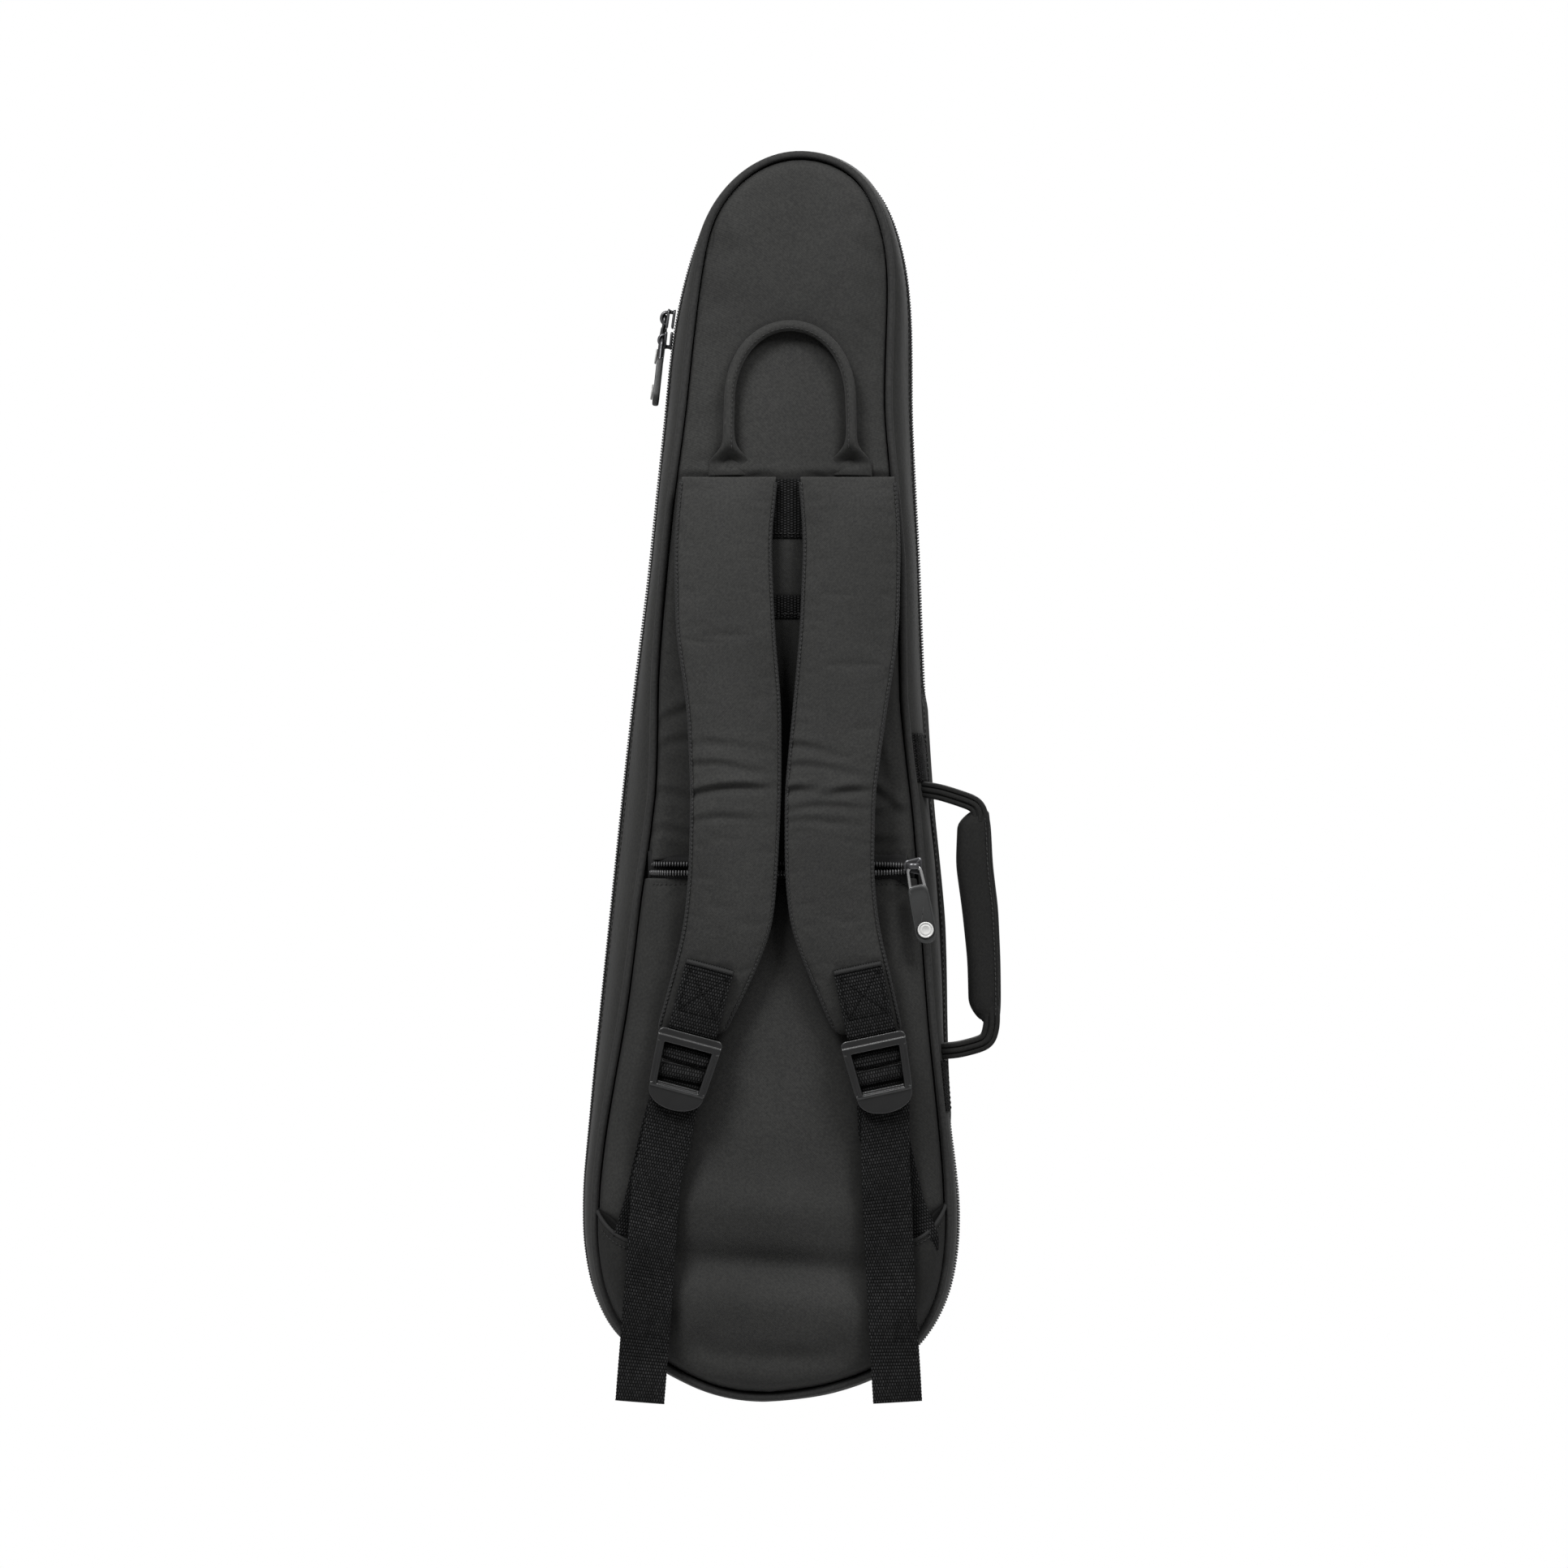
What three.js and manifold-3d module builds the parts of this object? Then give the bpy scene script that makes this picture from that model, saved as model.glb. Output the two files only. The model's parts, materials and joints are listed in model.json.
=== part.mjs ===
// Padded gig bag for a small fretted instrument, built as separate pieces. Millimetres, +Z up.
// The bag stands upright with its strap side facing -Y and its lid facing +Y.
// Everything is drawn from the bag's own foot (z = 0) and then moved, so that the origin of the
// exported group is at the top of the grab loop that the bag hangs from.
import * as THREE from 'three';
import { mergeVertices } from 'three/addons/utils/BufferGeometryUtils.js';
import Module from 'manifold-3d';

const wasm = await Module();
wasm.setup();

// ---------- driving dimensions ----------

const GAP = 0.3; // left between pieces that touch
const BACK_SEAM_Y = 0; // plane of the piping round the strap side
const FRONT_SEAM_Y = 84; // plane of the piping round the lid
const PARTING_Y = 42; // plane of the main zip
const GUSSET_WALL = 9;
const PANEL_THICK = 5;
const PADDING_THICK = 8;
const PIPING_R = 1.9;
const PIPING_CLEAR = 2.4; // panels and gussets stop this far from the piping's centre
const WEBBING_WIDTH = 25;
const WEBBING_THICK = 1.6;
const HANG_POINT = { x: 5.5, y: -12, z: 558 };

// Stations of the outline, clockwise seen from the strap side, from the foot's middle:
// x and z on the piped seam, then x and z where the gusset is widest.
const STATIONS = [
  [0, 4, 0, 0],
  [-37, 9, -38, 6],
  [-82, 41, -86, 37],
  [-94, 85, -100, 84],
  [-90, 142, -97, 142],
  [-79, 205, -91, 205],
  [-72, 262, -85, 262],
  [-64, 320, -79, 320],
  [-63, 375, -72.5, 375],
  [-59, 425, -66, 425],
  [-54.5, 470, -61.33, 470],
  [-48.5, 515, -56.67, 515],
  [-43.7, 560, -52, 560],
  [-37.5, 602, -41.4, 602.3],
  [-31, 621, -31.9, 621.9],
  [-12, 641, -12.5, 643],
  [11.3, 648.5, 11.3, 650.6],
  [36, 642.5, 37.4, 645],
  [51, 627, 56, 628.5],
  [60, 595, 68, 592],
  [60, 555, 71, 555],
  [59, 515, 71, 515],
  [66, 440, 74.5, 440],
  [67, 365, 77.5, 365],
  [74, 305, 81.5, 305],
  [78, 250, 87, 250],
  [82, 195, 88, 195],
  [87.5, 142, 90, 145],
  [90.3, 98, 95.5, 100],
  [86, 58, 91, 57],
  [72, 32, 75, 28],
  [49, 15, 50, 11],
];
const STEPS_PER_STATION = 2;

// The main zip leaves the outline only at the spine, between these two stations.
const SPINE_TOP_STATION = 23;
const SPINE_FOOT_STATION = 27;

// The straight run of the main zip down the left side, from its lower to its upper end,
// and the arc that carries it on over the left shoulder.
const RUN_FOOT = { x: -66, z: 425 };
const RUN_TOP = { x: -52, z: 560 };
const SHOULDER_R = 156;

// Straps: x of the left and of the right strap, then depth, height and width.
const STRAP_STATIONS = [
  [-23.7, 37.2, -10.4, 478, 48],
  [-27, 39.7, -13.5, 448, 47.5],
  [-25.6, 38.2, -18, 400, 48.5],
  [-21, 33.5, -22, 362, 46],
  [-20, 28.2, -25, 318, 44],
  [-21.5, 27.8, -26.8, 275, 43],
  [-24, 30.5, -26.2, 248, 43],
  [-31, 37.5, -24.2, 226, 40],
  [-41, 46, -22, 200, 33],
];
const STRAP_THICK = 8;
const BUCKLES = [
  { side: 'left', x: -43, y: -26.4, z: 192, tilt: 15 },
  { side: 'right', x: 50, y: -26.4, z: 191, tilt: -12 },
];
const TAIL_STATIONS = [
  [-53.5, 56.5, -23, 151],
  [-56, 56.5, -22.7, 138],
  [-61, 57, -22, 118],
  [-65.5, 60, -20.5, 55],
  [-69.5, 63, -19.5, 4],
];
const ANCHOR_STATIONS = [
  [-52, 53, -20.5, 168],
  [-56, 55, -18.5, 145],
  [-65, 64, -13.5, 106],
  [-71, 72, -13.4, 80],
];

const BACK_POCKET = { mouth: 278, depth: 8.7, wall: 2 };
const FRONT_POCKET = { mouth: 300, depth: 18, wall: 2, inset: 9 };
const ZIP_ROW = { height: 2.5, thick: 1.5, split: 3 };

// ---------- finishes ----------

const SHELL_FABRIC = { color: 0x3a3b3c, roughness: 0.85, metalness: 0 };
const PIPING_FABRIC = { color: 0x303132, roughness: 0.8, metalness: 0 };
const LINING = { color: 0x4a4c4f, roughness: 0.9, metalness: 0 };
const WEBBING = { color: 0x222324, roughness: 0.75, metalness: 0 };
const ZIP = { color: 0x191a1b, roughness: 0.6, metalness: 0 };
const SLIDER_METAL = { color: 0x202122, roughness: 0.35, metalness: 0.9 };
const WIRE_METAL = { color: 0xc8cacc, roughness: 0.2, metalness: 1 };
const TAB_RUBBER = { color: 0x151617, roughness: 0.6, metalness: 0 };
const BADGE = { color: 0xd8d9da, roughness: 0.4, metalness: 0 };
const BUCKLE_PLASTIC = { color: 0x121314, roughness: 0.35, metalness: 0 };

// ---------- the bag and its helpers ----------

const bag = new THREE.Group();
const drawn = new THREE.Group();
drawn.position.set(-HANG_POINT.x, -HANG_POINT.y, -HANG_POINT.z);
bag.add(drawn);

function add(name, geometry, finish, parent = drawn) {
  const mesh = new THREE.Mesh(geometry, new THREE.MeshStandardMaterial(finish));
  mesh.name = name;
  parent.add(mesh);
}

function point(x, y, z) {
  return new THREE.Vector3(x, y, z);
}

// Triangles that close one end ring, all turned the same way as the ring's own order.
function capFaces(ring) {
  const normal = new THREE.Vector3();
  ring.forEach((p, i) => {
    const q = ring[(i + 1) % ring.length];
    normal.x += (p.y - q.y) * (p.z + q.z);
    normal.y += (p.z - q.z) * (p.x + q.x);
    normal.z += (p.x - q.x) * (p.y + q.y);
  });
  const size = [normal.x, normal.y, normal.z].map(Math.abs);
  const axis = size.indexOf(Math.max(...size));
  const across = ['y', 'z', 'x'][axis];
  const along = ['z', 'x', 'y'][axis];
  const flat = ring.map((p) => new THREE.Vector2(p[across], p[along]));
  const turns = Math.sign(THREE.ShapeUtils.area(flat));
  return THREE.ShapeUtils.triangulateShape(flat, []).map(([a, b, c]) => {
    const same = Math.sign(THREE.ShapeUtils.area([flat[a], flat[b], flat[c]])) === turns;
    return same ? [a, b, c] : [a, c, b];
  });
}

// A closed solid skinned over rings of points, all with the same number of points.
function skin(rings) {
  const count = rings[0].length;
  const last = (rings.length - 1) * count;
  const faces = [];
  for (let r = 0; r + 1 < rings.length; r += 1) {
    for (let i = 0; i < count; i += 1) {
      const a = r * count + i;
      const b = r * count + ((i + 1) % count);
      faces.push([a, b, b + count], [a, b + count, a + count]);
    }
  }
  capFaces(rings[0]).forEach(([a, b, c]) => faces.push([a, c, b]));
  capFaces(rings.at(-1)).forEach(([a, b, c]) => faces.push([last + a, last + b, last + c]));
  const points = rings.flat();
  const volume = faces.reduce((sum, [a, b, c]) => {
    const cross = new THREE.Vector3().crossVectors(points[b], points[c]);
    return sum + points[a].dot(cross);
  }, 0);
  const outward = volume > 0 ? faces : faces.map(([a, b, c]) => [a, c, b]);
  const geometry = new THREE.BufferGeometry().setFromPoints(points);
  geometry.setIndex(outward.flat());
  return geometry;
}

function solid(geometry) {
  const bare = geometry.index ? geometry.toNonIndexed() : geometry.clone();
  bare.deleteAttribute('normal');
  bare.deleteAttribute('uv');
  const merged = mergeVertices(bare, 1e-4);
  const vertProperties = merged.attributes.position.array;
  const triVerts = new Uint32Array(merged.index.array);
  return new wasm.Manifold(new wasm.Mesh({ numProp: 3, vertProperties, triVerts }));
}

function geometryOf(manifold) {
  const mesh = manifold.getMesh();
  const geometry = new THREE.BufferGeometry();
  geometry.setAttribute('position', new THREE.BufferAttribute(mesh.vertProperties, 3));
  geometry.setIndex(new THREE.BufferAttribute(mesh.triVerts, 1));
  return geometry;
}

function block(low, high) {
  const size = point(...high).sub(point(...low));
  const middle = point(...high).add(point(...low)).multiplyScalar(0.5);
  return new THREE.BoxGeometry(size.x, size.y, size.z).translate(middle.x, middle.y, middle.z);
}

// A flat outline in x and z, with holes, standing as a plate between two depths.
function plate(shape, yNear, yFar) {
  const depth = yFar - yNear;
  const extrusion = { depth, bevelEnabled: false, curveSegments: 6 };
  const geometry = new THREE.ExtrudeGeometry(shape, extrusion);
  return geometry.rotateX(Math.PI / 2).translate(0, yFar, 0);
}

function polygon(corners) {
  return new THREE.Shape(corners.map(([x, z]) => new THREE.Vector2(x, z)));
}

function roundedRectangle(left, foot, right, top, radius) {
  const shape = new THREE.Shape();
  const quarter = Math.PI / 2;
  shape.absarc(right - radius, top - radius, radius, 0, quarter);
  shape.absarc(left + radius, top - radius, radius, quarter, 2 * quarter);
  shape.absarc(left + radius, foot + radius, radius, 2 * quarter, 3 * quarter);
  shape.absarc(right - radius, foot + radius, radius, 3 * quarter, 4 * quarter);
  return shape;
}

function tube(points, radius, steps, sides = 8) {
  const section = new THREE.Shape();
  for (let i = 0; i < sides; i += 1) {
    const turn = (2 * Math.PI * i) / sides;
    const corner = [radius * Math.cos(turn), radius * Math.sin(turn)];
    if (i === 0) section.moveTo(...corner);
    else section.lineTo(...corner);
  }
  const path = new THREE.CatmullRomCurve3(points, false, 'centripetal');
  return new THREE.ExtrudeGeometry(section, { steps, extrudePath: path, bevelEnabled: false });
}

// A strip along stations { x, y, z, width }: an eight-cornered section, as wide as its station.
function ribbon(stations, thick) {
  const half = thick / 2;
  const round = half * 0.6;
  return skin(
    stations.map(({ x, y, z, width }) => {
      const side = width / 2;
      return [
        [-side, -half + round],
        [-side + round, -half],
        [side - round, -half],
        [side, -half + round],
        [side, half - round],
        [side - round, half],
        [-side + round, half],
        [-side, half - round],
      ].map(([across, out]) => point(x + across, y + out, z));
    }),
  );
}

// ---------- outlines ----------

// A closed ring through the stations' seam points (column 0) or widest points (column 2).
function outline(column) {
  const corners = STATIONS.map((row) => point(row[column], 0, row[column + 1]));
  const curve = new THREE.CatmullRomCurve3(corners, true, 'centripetal');
  return curve.getPoints(STATIONS.length * STEPS_PER_STATION).slice(0, -1);
}

// The ring moved in by a distance, and set at a depth.
function ringAt(ring, inset, y) {
  return ring.map((p, i) => {
    const before = ring[(i + ring.length - 1) % ring.length];
    const after = ring[(i + 1) % ring.length];
    const along = after.clone().sub(before).normalize();
    return point(p.x + along.z * inset, y, p.z - along.x * inset);
  });
}

const SEAM = outline(0);
const WIDEST = outline(2);

function slab(inset, yNear, yFar) {
  return skin([ringAt(SEAM, inset, yNear), ringAt(SEAM, inset, yFar)]);
}

// A gusset: a padded wall that runs from the widest outline at the zip to the piped seam.
function gusset(yZip, ySeam) {
  const beyond = Math.sign(ySeam - yZip);
  const outer = skin([ringAt(WIDEST, 0, yZip), ringAt(SEAM, PIPING_R, ySeam)]);
  const inner = skin([
    ringAt(WIDEST, GUSSET_WALL, yZip - beyond),
    ringAt(WIDEST, GUSSET_WALL, yZip),
    ringAt(SEAM, PIPING_R + GUSSET_WALL, ySeam),
    ringAt(SEAM, PIPING_R + GUSSET_WALL, ySeam + beyond),
  ]);
  return geometryOf(solid(outer).subtract(solid(inner)));
}

function piping(y) {
  const seam = ringAt(SEAM, 0, y);
  const joinGap = 1;
  const start = seam[0].clone().add(point(-joinGap / 2, 0, 0));
  const end = seam[0].clone().add(point(joinGap / 2, 0, 0));
  return tube([start, ...seam.slice(1), end], PIPING_R, STATIONS.length * 3, 6);
}

// One row of the main zip: tape and coil, outside the gusset's edge, all round but the spine.
function mainZipRow(yLow, yHigh) {
  const near = ringAt(WIDEST, -0.4, 0);
  const far = ringAt(WIDEST, -0.4 - ZIP_ROW.thick, 0);
  const first = SPINE_FOOT_STATION * STEPS_PER_STATION;
  const past = (STATIONS.length + SPINE_TOP_STATION) * STEPS_PER_STATION;
  const rings = [];
  for (let i = first; i <= past; i += 1) {
    const a = near[i % near.length];
    const b = far[i % far.length];
    rings.push([
      point(a.x, yLow, a.z),
      point(b.x, yLow, b.z),
      point(b.x, yHigh, b.z),
      point(a.x, yHigh, a.z),
    ]);
  }
  return skin(rings);
}

// ---------- shell: the strap side and its half of the gusset ----------

const PANEL_NEAR = BACK_SEAM_Y - 3;
const PANEL_FAR = PANEL_NEAR + PANEL_THICK;
const LID_NEAR = FRONT_SEAM_Y - 2;
const LID_FAR = LID_NEAR + PANEL_THICK;
const PADDING_INSET = PIPING_R + GUSSET_WALL + GAP;

function makeShell() {
  add('back_panel', slab(PIPING_CLEAR, PANEL_NEAR, PANEL_FAR), SHELL_FABRIC);
  const paddingNear = PANEL_FAR + GAP;
  add('back_padding', slab(PADDING_INSET, paddingNear, paddingNear + PADDING_THICK), LINING);
  add('rear_gusset', gusset(PARTING_Y - 0.4, BACK_SEAM_Y + PIPING_CLEAR), SHELL_FABRIC);
  add('back_piping', piping(BACK_SEAM_Y), PIPING_FABRIC);
  add('rear_main_zip', mainZipRow(PARTING_Y - 4.6, PARTING_Y - 0.4), ZIP);
}

// A padded saddle that carries the instrument's neck.
function makeNeckRest() {
  const foot = PANEL_FAR + 2 * GAP + PADDING_THICK;
  const rest = solid(block([-38, foot, 440], [50, foot + 22, 466]));
  const saddle = new THREE.CylinderGeometry(28, 28, 40, 20).rotateX(Math.PI / 2);
  const groove = solid(saddle.translate(6, foot + 36, 453));
  add('neck_rest', geometryOf(rest.subtract(groove)), LINING);
}

// ---------- back pocket ----------

// An open-topped pouch on the seam outline, between the panel it is sewn to and its own outer face.
function pouch(yPanel, yOuter, pocket, inset, slope) {
  const outward = Math.sign(yOuter - yPanel);
  const cut = pocket.wall;
  const body = skin([ringAt(SEAM, inset, yPanel), ringAt(SEAM, inset + slope, yOuter)]);
  const hollow = skin([
    ringAt(SEAM, inset + cut, yPanel - outward),
    ringAt(SEAM, inset + cut, yPanel),
    ringAt(SEAM, inset + slope + cut, yOuter - outward * cut),
  ]);
  const keep = solid(block([-150, -50, -10], [150, 150, pocket.mouth]));
  return geometryOf(solid(body).intersect(keep).subtract(solid(hollow)));
}

const BACK_POCKET_NEAR = PANEL_NEAR - GAP;
const BACK_POCKET_FACE = BACK_POCKET_NEAR - BACK_POCKET.depth;

function makeBackPocket() {
  const pocket = pouch(BACK_POCKET_NEAR, BACK_POCKET_FACE, BACK_POCKET, PIPING_CLEAR, 3.5);
  add('back_pocket_panel', pocket, SHELL_FABRIC);
  const left = -66;
  const right = 69;
  const lowerTop = BACK_POCKET.mouth;
  const lowerFace = BACK_POCKET_FACE - GAP;
  const lower = block(
    [left, lowerFace - ZIP_ROW.thick, lowerTop - ZIP_ROW.height],
    [right, lowerFace, lowerTop],
  );
  add('back_pocket_zip_lower', lower, ZIP);
  const upperFoot = lowerTop + ZIP_ROW.split;
  const upper = block(
    [left, BACK_POCKET_NEAR - ZIP_ROW.thick, upperFoot],
    [right, BACK_POCKET_NEAR, upperFoot + ZIP_ROW.height],
  );
  add('back_pocket_zip_upper', upper, ZIP);
}

// ---------- webbing and patches on the strap side ----------

const ON_PANEL = PANEL_NEAR - GAP;

function makeBackTrim() {
  const seamBand = block([-51, ON_PANEL - 1.5, 479.5], [61, ON_PANEL, 484]);
  add('strap_seam_band', seamBand, SHELL_FABRIC);
  const neck = block([-6, ON_PANEL - WEBBING_THICK, 449], [19, ON_PANEL, 479]);
  add('neck_webbing', neck, WEBBING);
  const cross = block([-54, ON_PANEL - WEBBING_THICK, 407.5], [62, ON_PANEL, 419]);
  add('cross_webbing', cross, WEBBING);
}

const PATCH_FAR = BACK_POCKET_FACE - 2.6;
const PATCH_THICK = 2;
const CORNER_CUTS = [
  ['left', [[-110, 113.4], [-55, 67.2], [-50, -10], [-110, -10]]],
  ['right', [[110, 120.6], [52, 66.8], [47, -10], [110, -10]]],
];

// The fabric corners that hold the lower ends of the straps.
function makeCornerPatches() {
  for (const [side, corners] of CORNER_CUTS) {
    const cloth = solid(slab(3.2, PATCH_FAR - PATCH_THICK, PATCH_FAR));
    const cutter = solid(plate(polygon(corners), PATCH_FAR - 10, PATCH_FAR + 10));
    add(`corner_patch_${side}`, geometryOf(cloth.intersect(cutter)), SHELL_FABRIC);
  }
}

// ---------- straps ----------

function stationsFor(side, rows, width) {
  const column = side === 'left' ? 0 : 1;
  return rows.map((row) => ({ x: row[column], y: row[2], z: row[3], width: width ?? row[4] }));
}

const BUCKLE = { half: 17, thick: 4, bar: 3, slot: 26.5, height: 30, tabFoot: -38 };
const FOLD_ROOM = 0.9; // lets the buckle tilt inside the fold of webbing that holds it

// Ladder-lock frame with its three bars, drawn from its top bar downwards, thumb tab at the foot.
function ladderLock() {
  const { half, thick, bar, slot, height, tabFoot } = BUCKLE;
  const top = bar / 2;
  const frameFoot = top - height;
  const frame = roundedRectangle(-half, frameFoot, half, top, 3);
  const window = (high, low) => {
    const hole = new THREE.Path();
    hole.moveTo(-slot / 2, low);
    hole.lineTo(-slot / 2, high);
    hole.lineTo(slot / 2, high);
    hole.lineTo(slot / 2, low);
    hole.closePath();
    return hole;
  };
  frame.holes.push(window(-top, -10.5), window(-14, -23.5));
  const tab = polygon([[-11, frameFoot + 1], [-7, tabFoot], [7, tabFoot], [11, frameFoot + 1]]);
  const body = solid(plate(frame, -thick / 2, thick / 2));
  return geometryOf(body.add(solid(plate(tab, -thick / 2, 0))));
}

// The webbing that is sewn flat on the pad and folded round the buckle's top bar.
function strapTab() {
  const inner = BUCKLE.thick / 2 + FOLD_ROOM;
  const outer = inner + WEBBING_THICK;
  const frontTop = 38;
  const backTop = 4;
  const fold = -BUCKLE.bar / 2 - FOLD_ROOM - GAP;
  const profile = polygon([
    [-outer, frontTop],
    [-outer, fold - WEBBING_THICK],
    [outer, fold - WEBBING_THICK],
    [outer, backTop],
    [inner, backTop],
    [inner, fold],
    [-inner, fold],
    [-inner, frontTop],
  ]);
  const extrusion = { depth: WEBBING_WIDTH, bevelEnabled: false };
  const strip = new THREE.ExtrudeGeometry(profile, extrusion).translate(0, 0, -WEBBING_WIDTH / 2);
  // The profile is drawn in depth and height, so its own length turns to run across the strap.
  const basis = new THREE.Matrix4().makeBasis(point(0, 1, 0), point(0, 0, 1), point(1, 0, 0));
  return strip.applyMatrix4(basis);
}

function makeStraps() {
  for (const { side, x, y, z, tilt } of BUCKLES) {
    const pad = ribbon(stationsFor(side, STRAP_STATIONS), STRAP_THICK);
    add(`strap_pad_${side}`, pad, SHELL_FABRIC);
    const end = new THREE.Group();
    end.position.set(x, y, z);
    end.rotation.y = THREE.MathUtils.degToRad(tilt);
    drawn.add(end);
    add(`strap_tab_${side}`, strapTab(), WEBBING, end);
    add(`ladder_lock_${side}`, ladderLock(), BUCKLE_PLASTIC, end);
    const tail = ribbon(stationsFor(side, TAIL_STATIONS, WEBBING_WIDTH), WEBBING_THICK);
    add(`webbing_tail_${side}`, tail, WEBBING);
    const anchor = ribbon(stationsFor(side, ANCHOR_STATIONS, WEBBING_WIDTH), WEBBING_THICK);
    add(`anchor_webbing_${side}`, anchor, WEBBING);
  }
}

// ---------- grab handle ----------

function makeGrabHandle() {
  const foot = -7.5;
  const points = [
    point(-21, foot, 488),
    point(-21.5, foot - 1, 503),
    point(-22, -9.5, 525),
    point(-17, -11, 545),
    point(-4, -12, 555.5),
    point(HANG_POINT.x, HANG_POINT.y, HANG_POINT.z),
    point(19, -12, 555),
    point(31, -11, 543),
    point(35, -9.5, 523),
    point(36, foot - 1, 503),
    point(36.5, foot, 488),
  ];
  const loop = solid(tube(points, 2.9, 40, 8));
  const ends = [points[0], points.at(-1)].map((end) => {
    const flare = [
      [end.x - 10.5, 485],
      [end.x + 10.5, 485],
      [end.x + 2.6, 500],
      [end.x - 2.6, 500],
    ];
    return solid(plate(polygon(flare), foot - 1.6, foot + 1.6));
  });
  add('grab_handle', geometryOf(loop.add(ends[0]).add(ends[1])), SHELL_FABRIC);
}

// ---------- side handle ----------

const HANDLE_Y = 16;

// x of the right gusset's outer face at a height and depth.
function wallX(z, y) {
  const share = (y - BACK_SEAM_Y) / (PARTING_Y - BACK_SEAM_Y);
  const xOn = (ring) => {
    const half = ring.filter((p) => p.x > 20 && p.z < 600);
    const i = half.findIndex((p) => p.z < z);
    const above = half[i - 1];
    const below = half[i];
    return THREE.MathUtils.mapLinear(z, below.z, above.z, below.x, above.x);
  };
  return THREE.MathUtils.lerp(xOn(SEAM), xOn(WIDEST), share);
}

// Webbing sewn flat on the right gusset.
function wallPatch(zFoot, zTop) {
  const under = 1.2;
  const over = under + WEBBING_THICK;
  const near = HANDLE_Y - WEBBING_WIDTH / 2;
  const far = HANDLE_Y + WEBBING_WIDTH / 2;
  const rings = [zFoot, (zFoot + zTop) / 2, zTop].map((z) => [
    point(wallX(z, near) + under, near, z),
    point(wallX(z, near) + over, near, z),
    point(wallX(z, far) + over, far, z),
    point(wallX(z, far) + under, far, z),
  ]);
  return skin(rings);
}

// A leg of folded webbing between the gusset and the grip, in the handle's own plane.
function handleLeg(path) {
  return tube(path.map(([x, z]) => point(x, HANDLE_Y, z)), 3.2, 6, 8);
}

function makeSideHandle() {
  add('handle_patch_upper', wallPatch(323, 348), WEBBING);
  add('handle_patch_lower', wallPatch(152, 178), WEBBING);
  add('side_handle_leg_upper', handleLeg([[79.5, 320], [90, 318], [99, 312.6]]), WEBBING);
  add('side_handle_leg_lower', handleLeg([[89.5, 182], [99, 184.5], [106.5, 192.4]]), WEBBING);
  const grip = [
    [102.5, 309, 12],
    [103.5, 302, 17],
    [103.5, 280, 18.5],
    [106.5, 257, 18],
    [108.5, 230, 16.5],
    [109, 206, 16],
    [108.5, 196, 12],
  ].map(([x, z, width]) => ({ x, y: HANDLE_Y, z, width }));
  add('side_handle_grip', ribbon(grip, 13), SHELL_FABRIC);
}

// ---------- zip sliders and pullers ----------

// Slider and puller are drawn hanging: the puller down -Z, its outer face towards -Y and its
// hinge along X through the origin. The zip's face lies at y = SLIDER_BASE.
const SLIDER_BASE = 4.2;
const WIRE_R = 0.85;
const WIRE_FOOT = -13;
const TAB_TOP = WIRE_FOOT - WIRE_R - 2 * GAP;

// A slider with an arch over the wire of its puller, turned to face the way the puller lies.
function sliderBody(acrossX, alongZ, turn) {
  const plateTop = SLIDER_BASE - 2.6;
  const half = [acrossX / 2, alongZ / 2];
  const base = block([-half[0], plateTop, -half[1]], [half[0], SLIDER_BASE, half[1]]);
  const arch = block([-1.5, -2.6, -3.4], [1.5, plateTop + 0.5, 3.4]).rotateY(turn);
  const wireHole = block([-3, -1.4, -1.4], [3, 1.4, 1.4]).rotateY(turn);
  return geometryOf(solid(base).add(solid(arch).subtract(solid(wireHole))));
}

function wireLoop() {
  const half = 3.4;
  const foot = WIRE_FOOT;
  const corners = [
    [-0.6, 0],
    [-half + 1, 0],
    [-half, -1],
    [-half, foot + 1],
    [-half + 1, foot],
    [half - 1, foot],
    [half, foot + 1],
    [half, -1],
    [half - 1, 0],
    [0.6, 0],
  ];
  return tube(corners.map(([x, z]) => point(x, 0, z)), WIRE_R, 30, 6);
}

function pullTab(length) {
  const top = TAB_TOP;
  return plate(roundedRectangle(-4.7, top - length, 4.7, top, 2.5), -1.7, 1.7);
}

function badgeDisc(length) {
  const middle = TAB_TOP - length + 5.6;
  const disc = new THREE.CylinderGeometry(4.1, 4.1, 0.8, 20);
  return disc.translate(0, -1.7 - GAP - 0.4, middle);
}

// One slider at a place, with an optional turn of its puller about its own outward axis.
function addSlider(name, { place, basis, size, tabLength, lean }) {
  const frame = new THREE.Group();
  frame.applyMatrix4(basis);
  frame.position.set(...place);
  drawn.add(frame);
  const turn = THREE.MathUtils.degToRad(lean);
  add(`${name}_slider`, sliderBody(...size, turn), SLIDER_METAL, frame);
  const puller = new THREE.Group();
  puller.rotation.y = turn;
  frame.add(puller);
  add(`${name}_pull_wire`, wireLoop(), WIRE_METAL, puller);
  add(`${name}_pull_tab`, pullTab(tabLength), TAB_RUBBER, puller);
  add(`${name}_pull_badge`, badgeDisc(tabLength), BADGE, puller);
}

// Axes of a slider on the left side, whose zip climbs at an angle from the vertical.
function leftSideBasis(climb) {
  const up = point(Math.sin(climb), 0, Math.cos(climb));
  const inward = point(Math.cos(climb), 0, -Math.sin(climb));
  return new THREE.Matrix4().makeBasis(point(0, -1, 0), inward, up);
}

const MAIN_SLIDER_SIZE = [8.4, 9.6];
const OFF_OUTLINE = 0.4 + ZIP_ROW.thick + 0.5 + SLIDER_BASE;

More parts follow.
